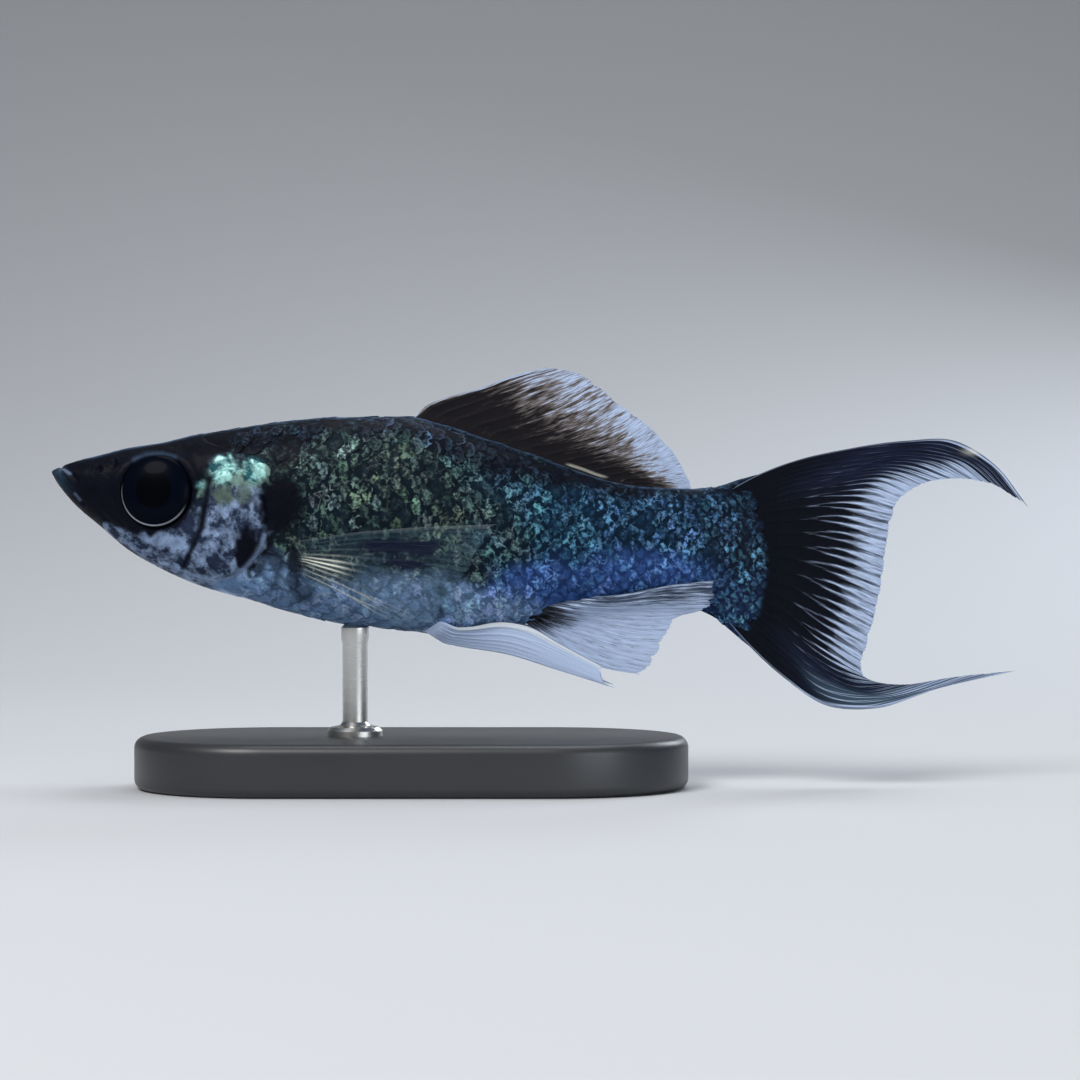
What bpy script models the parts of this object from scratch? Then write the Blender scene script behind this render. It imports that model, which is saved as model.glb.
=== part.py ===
"""A lyre-tailed sailfin molly, life size, as a still model on a plain display stand.

The fish faces -X and its left side faces -Y. Along the fish, s is millimetres behind the tip of the
snout and h is millimetres above the swim line, the level that the fish's parent empty sits at.
The origin is on the floor under the middle of the fish's length.
"""

import math

import bmesh
import bpy
import numpy as np
from mathutils import Matrix, Vector

MM = 0.001
GAP = 0.3  # free space kept between two nodes that meet

# Driving sizes of the fish.
TOTAL_LENGTH = 84.7
SWIM_HEIGHT = 21.5
HEAD_END = 20.9
TRUNK_END = 47.5
STALK_END = 59.68
BODY_SIDES = 34
SMOOTH_UP_TO = math.radians(40)

# Driving sizes of the stand.
BASE_LENGTH = 48.0
BASE_WIDTH = 25.0
BASE_THICKNESS = 4.5
BASE_CENTRE_X = -11.0
BASE_CORNER = 12.0
BASE_EDGE = 0.9
ROD_RADIUS = 1.2
ROD_S = 26.4
ROD_SIDES = 20

# The body's profile: s, height of the back, height of the belly, half width.
PROFILE = (
    (0.00, 5.92, 5.92, 0.00),
    (0.17, 6.09, 5.57, 0.80),
    (0.43, 6.22, 5.05, 1.20),
    (1.04, 6.48, 4.22, 1.75),
    (2.09, 6.87, 3.00, 2.35),
    (4.18, 7.40, 1.22, 3.10),
    (6.79, 8.06, -0.96, 3.75),
    (9.57, 8.48, -2.55, 4.25),
    (12.88, 9.27, -4.00, 4.68),
    (16.36, 9.87, -5.05, 4.95),
    (20.27, 10.44, -6.26, 5.15),
    (24.19, 10.79, -7.22, 5.20),
    (27.67, 10.85, -7.66, 5.15),
    (30.97, 10.86, -8.05, 5.05),
    (33.76, 10.27, -8.35, 4.85),
    (36.37, 9.44, -8.38, 4.60),
    (38.98, 8.57, -7.83, 4.25),
    (41.50, 7.70, -6.90, 3.90),
    (43.76, 6.87, -6.25, 3.60),
    (46.02, 6.09, -5.92, 3.30),
    (48.46, 5.26, -5.74, 3.00),
    (51.16, 4.79, -5.70, 2.70),
    (53.33, 4.65, -5.74, 2.45),
    (55.50, 4.61, -5.98, 2.18),
    (57.42, 4.72, -6.75, 1.80),
    (58.46, 4.96, -7.57, 1.50),
    (STALK_END, 5.37, -8.62, 1.10),
)

# How square the section is: s, power above its widest level, power below it, that level's share of the depth.
SECTIONS = (
    (0.0, 2.5, 2.1, 0.56),
    (8.0, 2.5, 2.1, 0.53),
    (18.0, 2.35, 2.05, 0.52),
    (27.0, 2.15, 2.1, 0.54),
    (34.0, 2.0, 2.05, 0.54),
    (42.0, 1.9, 2.0, 0.51),
    (54.0, 1.9, 1.9, 0.50),
    (STALK_END, 1.5, 1.5, 0.50),
)

# The eye: where its edge ring is centred, its size, and how it is turned.
EYE_S, EYE_H, EYE_SIDE = 9.57, 4.18, 3.8
EYE_RADIUS = 3.1
EYE_FORWARD = math.radians(9.0)
EYE_UPWARD = math.radians(6.5)
EYE_SIDES = 26

# The line of the mouth runs from its upper end down to the chin, at one plane across the snout.
MOUTH_TOP = (0.70, 6.61)
MOUTH_CHIN = (2.96, 2.18)
MOUTH_CORNER_H = 3.9
LIP_HEIGHT = 0.2
LIP_WIDTH = 0.5
RIM_HEIGHT = 0.15
RIM_WIDTH = 0.9
NOSTRILS = ((4.5, 6.15, 0.30), (5.75, 6.65, 0.36))  # s, h, radius

# The gill cover's outline, from its rear corner up and round.
GILL_CENTRE = (16.0, 1.6)
GILL_OUTLINE = (
    (19.05, 0.43),
    (19.14, 2.61),
    (18.53, 4.70),
    (16.79, 6.09),
    (14.79, 5.92),
    (13.92, 4.35),
    (13.57, 1.30),
    (12.85, -0.70),
    (12.25, -2.16),
    (13.14, -3.13),
    (14.70, -3.48),
    (16.36, -2.96),
    (18.01, -1.48),
)
GILL_SIDES_PER_POINT = 2
GILL_RINGS = (0.5, 0.85, 1.0)
GILL_REAR_RAISE = 0.38
GILL_FRONT_RAISE = 0.06
GILL_DEPTH = 0.55

# Rays of each fin that guide all the others, each from its root to its tip, as (s, h).
DORSAL_GUIDES = (
    ((31.15, 11.14), (34.36, 12.40), (37.24, 13.22), (40.28, 14.35), (43.15, 15.05)),
    ((33.76, 10.35), (37.24, 11.48), (41.59, 13.22), (45.50, 14.70)),
    ((37.24, 9.22), (40.72, 10.09), (44.63, 11.74), (47.68, 13.40)),
    ((40.72, 8.00), (44.20, 8.61), (47.41, 9.83), (50.11, 11.35)),
    ((44.02, 6.79), (46.81, 7.30), (49.85, 8.26), (52.20, 9.70)),
    ((46.81, 5.83), (48.98, 6.25), (51.59, 6.85), (54.11, 7.70)),
    ((49.42, 5.40), (51.16, 5.65), (53.33, 5.85), (55.16, 6.20)),
    ((51.20, 5.12), (52.60, 5.20), (54.10, 5.20), (55.68, 5.20)),
)
TAIL_GUIDES = (
    (
        (59.94, 5.39),
        (64.73, 6.92),
        (68.90, 7.87),
        (74.12, 8.61),
        (78.56, 8.57),
        (81.78, 6.61),
        (84.70, 2.87),
    ),
    ((59.94, 4.61), (65.08, 6.18), (70.30, 7.13), (75.52, 7.57), (79.00, 6.79), (81.61, 4.78)),
    ((59.94, 3.83), (65.08, 5.31), (69.43, 6.09), (73.78, 6.44), (77.69, 5.22)),
    ((59.94, 2.96), (64.21, 4.00), (68.56, 4.78), (72.04, 5.05), (74.47, 4.05)),
    ((59.94, 1.74), (64.21, 2.52), (68.56, 2.78), (73.08, 1.83)),
    ((59.94, 0.00), (64.21, 0.17), (68.56, -0.26), (72.56, -1.48)),
    ((59.94, -1.74), (64.21, -2.26), (68.12, -3.48), (72.04, -5.13)),
    ((59.94, -3.48), (63.77, -4.78), (67.25, -6.70), (71.08, -8.79)),
    ((59.94, -4.96), (63.34, -7.13), (66.82, -9.57), (70.73, -11.83)),
    ((59.94, -6.09), (63.34, -8.96), (66.82, -11.57), (70.30, -13.05), (74.21, -12.57)),
    ((59.94, -7.22), (63.68, -10.53), (67.51, -13.31), (72.04, -13.75), (79.00, -11.83)),
    (
        (59.94, -8.70),
        (63.68, -11.96),
        (67.51, -14.44),
        (71.34, -14.70),
        (77.26, -12.92),
        (84.22, -11.35),
    ),
)
ANAL_GUIDES = (
    ((41.50, -7.35), (44.20, -8.70), (47.68, -10.44), (51.16, -11.57)),
    ((42.55, -7.05), (45.50, -8.10), (48.98, -9.60), (52.46, -10.53)),
    ((43.60, -6.85), (46.81, -7.55), (50.29, -8.35), (53.59, -8.61)),
    ((44.65, -6.70), (48.11, -7.00), (51.59, -7.10), (54.64, -6.85)),
    ((45.65, -6.60), (48.90, -6.40), (52.46, -5.95), (57.42, -5.80)),
    ((46.60, -6.50), (49.60, -5.70), (53.07, -4.95), (57.77, -4.75)),
    ((47.45, -6.40), (50.10, -4.95), (53.33, -4.05), (57.85, -3.57)),
)
PELVIC_GUIDES = (
    ((32.36, -8.55), (35.50, -9.20), (39.67, -9.87), (43.85, -11.14), (48.89, -12.70)),
    ((32.80, -8.25), (35.93, -8.80), (39.85, -9.31), (44.20, -10.79), (48.20, -12.35)),
    ((33.23, -7.95), (36.19, -8.30), (39.85, -8.53), (43.76, -9.83), (47.85, -11.66)),
    ((33.76, -7.65), (36.37, -7.70), (39.00, -7.55), (42.89, -8.70), (47.59, -11.05)),
)
PECTORAL_GUIDES = (
    ((21.84, -0.09), (25.93, 0.52), (32.02, 1.04), (38.80, 1.30)),
    ((21.84, -0.78), (26.36, -0.43), (32.02, -0.52), (37.58, -1.04)),
    ((21.84, -1.48), (25.93, -1.74), (31.15, -2.61), (35.76, -3.74)),
    ((21.84, -2.17), (25.49, -3.13), (29.84, -4.70), (33.76, -6.26)),
    ((21.84, -2.87), (24.62, -4.18), (28.10, -6.09), (31.49, -7.74)),
)

# A fin's membrane, its rays and its free edge.
MEMBRANE = 0.5
RAY_AT_ROOT = 0.9
RAY_AT_TIP = 0.6
FREE_EDGE = 0.32
RAY_SPACING = 0.5  # columns closer than this get lower ridges
FIN_ROOT_TAPER = 0.16  # share of a ray over which a thick root thins

# How far the fins stand or lean sideways.
ANAL_ROOT_LEAN = 1.1
ANAL_LEAN = 1.6
PECTORAL_SPREAD = 3.0
PELVIC_INNER, PELVIC_OUTER, PELVIC_TIP = 1.1, 2.3, 2.9


def smooth(points):
    """A monotone cubic through (x, value) points, as a function of an array of x."""
    x_at, values = np.array(points, float).T
    spans = np.diff(x_at)
    slopes = np.diff(values) / spans
    tangents = np.zeros(len(x_at))
    before, after = slopes[:-1], slopes[1:]
    rising = before * after > 0
    total = np.where(rising, before + after, 1.0)
    tangents[1:-1] = np.where(rising, 2 * before * after / total, 0.0)
    tangents[0], tangents[-1] = slopes[0], slopes[-1]

    def value(x):
        x = np.clip(np.asarray(x, float), x_at[0], x_at[-1])
        i = np.clip(np.searchsorted(x_at, x) - 1, 0, len(spans) - 1)
        return cubic((x - x_at[i]) / spans[i], values[i], values[i + 1], tangents[i], tangents[i + 1], spans[i])

    return value


def cubic(t, start, end, start_slope, end_slope, span):
    """The cubic from start to end with these slopes, at share t of the span."""
    return (
        start * (1 + 2 * t) * (1 - t) ** 2
        + end * t * t * (3 - 2 * t)
        + start_slope * span * t * (1 - t) ** 2
        - end_slope * span * t * t * (1 - t)
    )


def through(points):
    """A smooth curve through points, as a function of the share of its length."""
    places = np.array(points, float)
    lengths = np.linalg.norm(np.diff(places, axis=0), axis=1)
    at = np.concatenate([[0.0], np.cumsum(lengths)]) / lengths.sum()
    slopes = np.gradient(places, at, axis=0)

    def value(share):
        share = np.clip(np.asarray(share, float), 0, 1)
        i = np.clip(np.searchsorted(at, share) - 1, 0, len(at) - 2)
        span = (at[i + 1] - at[i])[..., None]
        t = (share - at[i])[..., None] / span
        return cubic(t, places[i], places[i + 1], slopes[i], slopes[i + 1], span)

    return value


def closed_curve(points, per_point):
    """Places on a smooth closed curve through points, this many for each point."""
    here = np.array(points, float)
    after = np.roll(here, -1, axis=0)
    slope = (after - np.roll(here, 1, axis=0)) / 2
    shares = np.arange(per_point) / per_point
    spans = [cubic(t, here, after, slope, np.roll(slope, -1, axis=0), 1.0) for t in shares]
    return np.stack(spans, axis=1).reshape(-1, 2)


def step(x):
    """0 below 0, 1 above 1 and a smooth rise between."""
    x = np.clip(x, 0, 1)
    return x * x * (3 - 2 * x)


def by_root(column):
    """A profile column as a function of s, smooth in the root of s so that the snout is round."""
    return smooth([(math.sqrt(row[0]), row[column]) for row in PROFILE])


BACK, BELLY, HALF_WIDTH = by_root(1), by_root(2), by_root(3)
UPPER_POWER, LOWER_POWER, WIDEST_SHARE = (smooth([(row[0], row[c]) for row in SECTIONS]) for c in (1, 2, 3))


def section(s):
    """Back, belly, half width, widest level, upper power and lower power of the body at s."""
    root = np.sqrt(np.maximum(s, 0))
    back, belly = BACK(root), BELLY(root)
    level = belly + (back - belly) * WIDEST_SHARE(s)
    return back, belly, HALF_WIDTH(root), level, UPPER_POWER(s), LOWER_POWER(s)


def flank(s, h, grow=0.0):
    """Half width at (s, h) of the body, or of the body grown by this much all round; 0 off its outline."""
    back, belly, half, level, upper, lower = section(s)
    above = h >= level
    reach = np.maximum(np.where(above, back - level, level - belly) + grow, 1e-6)
    power = np.where(above, upper, lower)
    share = np.clip(np.abs(h - level) / reach, 0, 1)
    return (half + grow) * (1 - share**power) ** (1 / power)


def mouth_distance(s, h):
    """Signed distance behind the plane of the mouth."""
    ds, dh = MOUTH_CHIN[0] - MOUTH_TOP[0], MOUTH_CHIN[1] - MOUTH_TOP[1]
    length = math.hypot(ds, dh)
    return ((s - MOUTH_TOP[0]) * -dh + (h - MOUTH_TOP[1]) * ds) / length


def relief(s, h):
    """Height of the lips and of the rim round each eye, over the plain body."""
    lip = np.exp(-((mouth_distance(s, h) / LIP_WIDTH) ** 2)) * step((h - MOUTH_CORNER_H + 1.0) / 1.6)
    rim = np.exp(-(((np.hypot(s - EYE_S, h - EYE_H) - EYE_RADIUS) / RIM_WIDTH) ** 2))
    return LIP_HEIGHT * lip + RIM_HEIGHT * rim


def grid_normals(points):
    """Unit normals of a grid of points, from its neighbours."""
    across = np.cross(np.gradient(points, axis=0), np.gradient(points, axis=1))
    return across / np.maximum(np.linalg.norm(across, axis=2, keepdims=True), 1e-9)


def body_rings(stations, sides):
    """Rings of points (s, side, h) round the body, one ring for each station."""
    turn = np.arange(sides) / sides * 2 * math.pi
    rings = []
    for s in stations:
        back, belly, half, level, upper, lower = (float(v) for v in section(s))
        c, d = np.cos(turn), np.sin(turn)
        power = np.where(d >= 0, upper, lower)
        reach = np.where(d >= 0, back - level, level - belly)
        side = half * np.sign(c) * np.abs(c) ** (2 / power)
        h = level + reach * np.sign(d) * np.abs(d) ** (2 / power)
        rings.append(np.stack([np.full(sides, s), side, h], axis=1))
    rings = np.array(rings)
    wrapped = np.concatenate([rings[:, -1:], rings, rings[:, :1]], axis=1)
    outward = grid_normals(wrapped)[:, 1:-1]
    facing = np.sign((outward[:, :, 1] * rings[:, :, 1]).sum())
    return rings + facing * outward * relief(rings[:, :, 0], rings[:, :, 2])[:, :, None]


def in_fish(point):
    """A (s, side, h) point in metres, measured from the fish's parent empty."""
    s, side, h = point
    return Vector(((s - TOTAL_LENGTH / 2) * MM, side * MM, h * MM))


def add_mesh(name, bm, parent, material):
    """Turns a bmesh into a named object with its faces pointing out."""
    bmesh.ops.recalc_face_normals(bm, faces=bm.faces)
    mesh = bpy.data.meshes.new(name)
    bm.to_mesh(mesh)
    bm.free()
    obj = bpy.data.objects.new(name, mesh)
    bpy.context.scene.collection.objects.link(obj)
    obj.parent = parent
    if material:
        mesh.materials.append(material)
    mesh.shade_smooth()
    mesh.set_sharp_from_angle(angle=SMOOTH_UP_TO)
    return obj


def add_ring(bm, points):
    return [bm.verts.new(in_fish(p)) for p in points]


def join_rings(bm, first, second):
    """Triangles between two closed rings of the same count."""
    count = len(first)
    for i in range(count):
        j = (i + 1) % count
        bm.faces.new((first[i], first[j], second[j]))
        bm.faces.new((first[i], second[j], second[i]))


def close_ring(bm, ring, centre):
    """A fan of triangles from a closed ring to one point."""
    hub = bm.verts.new(in_fish(centre))
    for i, vert in enumerate(ring):
        bm.faces.new((vert, ring[(i + 1) % len(ring)], hub))


def loft(stations, snout=False):
    """A closed length of the body through these stations, from the very snout if that is asked."""
    bm = bmesh.new()
    rings = body_rings(stations, BODY_SIDES)
    made = [add_ring(bm, ring) for ring in rings]
    for first, second in zip(made, made[1:]):
        join_rings(bm, first, second)
    start = (0.0, 0.0, PROFILE[0][1]) if snout else rings[0].mean(axis=0)
    close_ring(bm, made[0], start)
    close_ring(bm, made[-1], rings[-1].mean(axis=0))
    return bm


def cut_at_mouth(bm, keep_rear):
    """Cuts a loft at the plane of the mouth, half a gap off it, and closes the cut."""
    ds, dh = MOUTH_CHIN[0] - MOUTH_TOP[0], MOUTH_CHIN[1] - MOUTH_TOP[1]
    rearward = Vector((-dh, 0, ds)).normalized()
    away = rearward if keep_rear else -rearward
    place = in_fish((MOUTH_TOP[0], 0, MOUTH_TOP[1])) + away * (GAP / 2 * MM)
    geometry = bm.verts[:] + bm.edges[:] + bm.faces[:]
    bmesh.ops.bisect_plane(bm, geom=geometry, dist=1e-7, plane_co=place, plane_no=away, clear_inner=True)
    open_edges = [e for e in bm.edges if e.is_boundary]
    bmesh.ops.holes_fill(bm, edges=open_edges, sides=0)
    bmesh.ops.triangulate(bm, faces=[f for f in bm.faces if len(f.verts) > 3])
    return bm


def on_flank(s, h, side, offset):
    """A point on one flank at (s, h), moved out along the surface's own normal."""
    small = 0.05
    slope_s = (flank(s + small, h) - flank(s - small, h)) / (2 * small)
    slope_h = (flank(s, h + small) - flank(s, h - small)) / (2 * small)
    length = np.sqrt(1 + slope_s**2 + slope_h**2)
    out = offset / length
    return np.stack([s - slope_s * out, side * (flank(s, h) + out), h - slope_h * out], axis=-1)


def gill_plate(side, grow, outer, inner):
    """A closed plate over the gills: its outline grown, between two heights over the flank."""
    edge = closed_curve(GILL_OUTLINE, GILL_SIDES_PER_POINT)
    centre = np.array(GILL_CENTRE)
    arms = edge - centre
    arms *= 1 + grow / np.linalg.norm(arms, axis=1, keepdims=True)
    bm = bmesh.new()
    faces = []
    for height in (outer, inner):
        rings = []
        for share in GILL_RINGS:
            s, h = (centre + arms * share).T
            rings.append(add_ring(bm, on_flank(s, h, side, height(s, share))))
        hub = on_flank(*(np.array([v]) for v in GILL_CENTRE), side, height(GILL_CENTRE[0], 0.0))[0]
        close_ring(bm, rings[0], hub)
        for first, second in zip(rings, rings[1:]):
            join_rings(bm, first, second)
        faces.append(rings[-1])
    join_rings(bm, faces[0], faces[1])
    return bm


def gill_height(s, share):
    """Height of the gill cover over the flank: a step at its free rear edge, nearly flush in front."""
    rise = step((np.asarray(s) - 13.0) / 5.0)
    return GILL_FRONT_RAISE + (GILL_REAR_RAISE - GILL_FRONT_RAISE) * rise + 0.12 * (1 - share**2)


def turned(profile, sides):
    """A closed round solid from (radius, height) points that start and end on its axis, in metres."""
    bm = bmesh.new()
    rings = []
    for radius, height in profile[1:-1]:
        turn = [i / sides * 2 * math.pi for i in range(sides)]
        rings.append([bm.verts.new((radius * math.cos(a) * MM, radius * math.sin(a) * MM, height * MM)) for a in turn])
    for first, second in zip(rings, rings[1:]):
        join_rings(bm, first, second)
    for ring, (_, height) in ((rings[0], profile[0]), (rings[-1], profile[-1])):
        hub = bm.verts.new((0, 0, height * MM))
        for i, vert in enumerate(ring):
            bm.faces.new((vert, ring[(i + 1) % sides], hub))
    return bm


def eye_profile(grow, front):
    """The eyeball's outline from its back to its front; grown for the socket, which is open to the front."""
    r = EYE_RADIUS + grow
    back = [(0.0, -2.3 - grow), (0.55 * r, -2.1 - grow), (0.88 * r, -1.3 - grow), (r, -0.4), (r, 0.0)]
    return back + front


def eye_frame(side):
    """Where the eye sits and how it is turned, with its own +Z looking out of the head."""
    look = Vector((-math.sin(EYE_FORWARD), side * math.cos(EYE_FORWARD), math.sin(EYE_UPWARD))).normalized()
    place = in_fish((EYE_S, side * EYE_SIDE, EYE_H))
    return Matrix.Translation(place) @ look.to_track_quat("Z", "Y").to_matrix().to_4x4()


def fin_places(guides, columns, rows):
    """A grid of (s, h) over a fin, columns from its first guide ray to its last and rows from root to tip."""
    share = np.linspace(0, 1, rows)
    rays = np.array([through(guide)(share) for guide in guides])
    index = np.arange(len(guides))
    return np.array([
        [[smooth_across(index, rays[:, row, axis], u) for axis in (0, 1)] for row in range(rows)]
        for u in columns * (len(guides) - 1)
    ])


def smooth_across(index, values, u):
    """The value between guide rays at u, by a cubic through its neighbours."""
    i = min(int(u), len(index) - 2)
    slopes = np.gradient(values)
    return cubic(u - i, values[i], values[i + 1], slopes[i], slopes[i + 1], 1.0)


def fin_thickness(places, root):
    """Thickness over a fin's grid: a ridge on every other column, a thick root and a thin free edge.

    The ridges are lower where the rays crowd together.
    """
    share = np.linspace(0, 1, places.shape[1])
    is_ray = (np.arange(places.shape[0]) % 2 == 1)[:, None]
    spacing = np.linalg.norm(np.gradient(places, axis=0), axis=2)
    room = np.clip(spacing / RAY_SPACING, 0, 1)
    rise = step(share / 0.2) * (RAY_AT_ROOT + (RAY_AT_TIP - RAY_AT_ROOT) * share - MEMBRANE)
    ridge = rise[None, :] * room
    thick = MEMBRANE + np.where(is_ray, ridge, 0.0)
    from_root = 1 - step(share / FIN_ROOT_TAPER)
    thick = thick + np.maximum(root - thick, 0) * from_root[None, :]
    thick[:, -1] = FREE_EDGE
    return thick


def fin_solid(centre, thick):
    """A closed fin from its middle surface and its thickness, with both faces split alike."""
    normals = grid_normals(centre)
    normals[1:-1] = (normals[:-2] + 2 * normals[1:-1] + normals[2:]) / 4
    normals /= np.linalg.norm(normals, axis=2, keepdims=True)
    bm = bmesh.new()
    faces = []
    for way in (-0.5, 0.5):
        points = centre + normals * (way * thick)[:, :, None]
        faces.append([add_ring(bm, column) for column in points])
    columns, rows = thick.shape
    for grid in faces:
        for i in range(columns - 1):
            for j in range(rows - 1):
                a, b, c, d = grid[i][j], grid[i + 1][j], grid[i + 1][j + 1], grid[i][j + 1]
                if i % 2:
                    bm.faces.new((a, b, d))
                    bm.faces.new((b, c, d))
                else:
                    bm.faces.new((a, b, c))
                    bm.faces.new((a, c, d))
    near, far = faces
    rim = [(i, 0) for i in range(columns)] + [(columns - 1, j) for j in range(1, rows)]
    rim += [(i, rows - 1) for i in range(columns - 2, -1, -1)] + [(0, j) for j in range(rows - 2, 0, -1)]
    join_rings(bm, [near[i][j] for i, j in rim], [far[i][j] for i, j in rim])
    return bm


def fin_centre(places, side):
    """The middle surface (s, side, h) of a fin from its (s, h) places and its sideways offset."""
    return np.stack([places[:, :, 0], side, places[:, :, 1]], axis=2)


def fin_shares(columns, rows):
    """Shares across and along a fin's grid, as two grids."""
    return np.meshgrid(columns, np.linspace(0, 1, rows), indexing="ij")


def ray_columns(rays, start=0.0, end=1.0):
    """Shares across a fin for a ridge on each ray and a membrane on both sides of it."""
    return np.linspace(start, end, 2 * rays + 1)


def soft_max(a, b, blend=0.35):
    return 0.5 * (a + b + np.sqrt((a - b) ** 2 + blend**2))


def make_dorsal(parent, material, rays=12, rows=8):
    columns = ray_columns(rays)
    places = fin_places(DORSAL_GUIDES, columns, rows)
    root = places[:, 0, :]
    root[:, 1] = BACK(np.sqrt(root[:, 0])) + GAP
    u, v = fin_shares(columns, rows)
    side = 0.6 * v**1.5 * (1 - u**3) * np.sin(2 * math.pi * (0.9 * u + 0.15))
    thick = fin_thickness(places, 1.3)
    return add_mesh("dorsal_fin", fin_solid(fin_centre(places, side), thick), parent, material)


def tail_side(u, v, s):
    """How far the tail fin bends sideways: the upper streamer to the left and the lower one to the right."""
    reach = np.clip((s - STALK_END) / (TOTAL_LENGTH - STALK_END), 0, 1)
    return reach**2 * (-1.7 + 2.7 * u) * step(v / 0.5) + 0.35 * np.sin(2 * math.pi * (1.5 * u + 0.1)) * reach


def make_tail_part(name, rays, rows, start, end, parent, material):
    """One length of the tail fin between two shares across it, held half a gap off its neighbours."""
    columns = ray_columns(rays, start, end)
    places = fin_places(TAIL_GUIDES, columns, rows)
    places[:, 0, 0] = STALK_END + GAP
    for edge, inner in ((0, 1), (-1, -2)):
        if columns[edge] in (0.0, 1.0):
            continue
        inward = places[inner] - places[edge]
        along = np.gradient(places[edge], axis=0)
        along /= np.linalg.norm(along, axis=1, keepdims=True)
        inward -= (inward * along).sum(axis=1, keepdims=True) * along
        places[edge] += inward / np.linalg.norm(inward, axis=1, keepdims=True) * GAP / 2
    u, v = fin_shares(columns, rows)
    side = tail_side(u, v, places[:, :, 0])
    stalk = 2 * flank(np.full(len(columns), STALK_END), places[:, 0, 1])[:, None]
    thick = fin_thickness(places, 0.0)
    thick = np.maximum(thick, stalk * (1 - step(v / 0.35)))
    return add_mesh(name, fin_solid(fin_centre(places, side), thick), parent, material)


def belly_under(s, side):
    """Height of the belly's underside at a place off the midline."""
    _, belly, half, level, _, lower = section(s)
    share = np.clip(np.abs(side) / half, 0, 1)
    return level - (level - belly) * (1 - share**lower) ** (1 / lower)


def make_anal(parent, material, rays=7, rows=8):
    """The anal fin, whose upper rays sweep up along the left flank of the tail stalk."""
    columns = ray_columns(rays)
    places = fin_places(ANAL_GUIDES, columns, rows)
    root_side = ANAL_ROOT_LEAN * columns**2
    root = places[:, 0, :]
    root[:, 1] = belly_under(root[:, 0], root_side) - GAP - 0.2 * columns
    u, v = fin_shares(columns, rows)
    thick = fin_thickness(places, MEMBRANE)
    lean = root_side[:, None] + ANAL_LEAN * u**1.6 * step(v / 0.42) * (1 - 0.15 * v)
    clear = flank(places[:, :, 0], places[:, :, 1], GAP + 0.1 + thick / 2)
    side = -np.where(v > 0, soft_max(lean, clear, 0.3), lean)
    return add_mesh("anal_fin", fin_solid(fin_centre(places, side), thick), parent, material)


def make_pectoral(name, side, parent, material, rays=7, rows=7):
    """A pectoral fin, its root on the flank and its tip spread away from it."""
    columns = ray_columns(rays)
    places = fin_places(PECTORAL_GUIDES, columns, rows)
    _, v = fin_shares(columns, rows)
    thick = fin_thickness(places, 0.7)
    clear = flank(places[:, :, 0], places[:, :, 1], GAP + 0.1 + thick / 2)
    out = soft_max(clear, clear[:, :1] + PECTORAL_SPREAD * v**1.4)
    return add_mesh(name, fin_solid(fin_centre(places, side * out), thick), parent, material)


def make_pelvic(name, side, parent, material, rays=4, rows=10):
    """A pelvic fin, its root across one side of the belly and its blade hanging back from it."""
    columns = ray_columns(rays)
    places = fin_places(PELVIC_GUIDES, columns, rows)
    thick = fin_thickness(places, 0.6)
    root_side = PELVIC_INNER + (PELVIC_OUTER - PELVIC_INNER) * columns
    places[:, 0, 1] = belly_under(places[:, 0, 0], root_side) - GAP - thick[:, 0] / 2
    _, v = fin_shares(columns, rows)
    hang = root_side[:, None] + (PELVIC_TIP - root_side[:, None]) * v
    clear = flank(places[:, :, 0], places[:, :, 1], GAP + 0.1 + thick / 2)
    out = np.where(v > 0, soft_max(hang, clear, 0.3), hang)
    return add_mesh(name, fin_solid(fin_centre(places, side * out), thick), parent, material)


def make_material(name, colour, roughness, metallic=0.0):
    material = bpy.data.materials.new(name)
    material.use_nodes = True
    shader = material.node_tree.nodes["Principled BSDF"]
    shader.inputs["Base Color"].default_value = (*colour, 1.0)
    shader.inputs["Roughness"].default_value = roughness
    shader.inputs["Metallic"].default_value = metallic
    return material


def as_cutter(obj, collection):
    """Keeps a helper out of the model and puts it in the collection that a Boolean reads."""
    obj.hide_render = True
    obj.display_type = "WIRE"
    collection.objects.link(obj)
    return obj


def make_head(parent, material):
    """The head behind the mouth, cut out for the eyes, the nostrils and the gill covers."""
    snout_rings = (np.linspace(0.14, 1.0, 34) ** 1.7) * HEAD_END
    head = add_mesh("head", cut_at_mouth(loft(snout_rings, snout=True), True), parent, material)
    cutters = bpy.data.collections.new("head_cutters")
    bpy.context.scene.collection.children.link(cutters)
    for word, side in (("left", -1), ("right", 1)):
        open_front = [(EYE_RADIUS + GAP, 3.0), (0.0, 3.0)]
        socket = add_mesh("socket_" + word, turned(eye_profile(GAP, open_front), EYE_SIDES), parent, None)
        socket.matrix_local = eye_frame(side)
        as_cutter(socket, cutters)
        pocket = gill_plate(side, GAP, lambda s, share: 1.6, lambda s, share: -GILL_DEPTH - GAP)
        as_cutter(add_mesh("gill_pocket_" + word, pocket, parent, None), cutters)
        for number, (s, h, radius) in enumerate(NOSTRILS):
            bm = bmesh.new()
            bmesh.ops.create_icosphere(bm, subdivisions=2, radius=radius * MM)
            pit = add_mesh(f"nostril_{number}_{word}", bm, parent, None)
            pit.location = in_fish(on_flank(np.array(s), np.array(h), side, 0.0))
            as_cutter(pit, cutters)
    cut = head.modifiers.new("openings", "BOOLEAN")
    cut.operation = "DIFFERENCE"
    cut.operand_type = "COLLECTION"
    cut.collection = cutters
    cut.solver = "EXACT"
    return head


def make_jaw(parent, material):
    snout_rings = (np.linspace(0.14, 1.0, 14) ** 1.5) * 4.6
    return add_mesh("lower_jaw", cut_at_mouth(loft(snout_rings, snout=True), False), parent, material)


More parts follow.
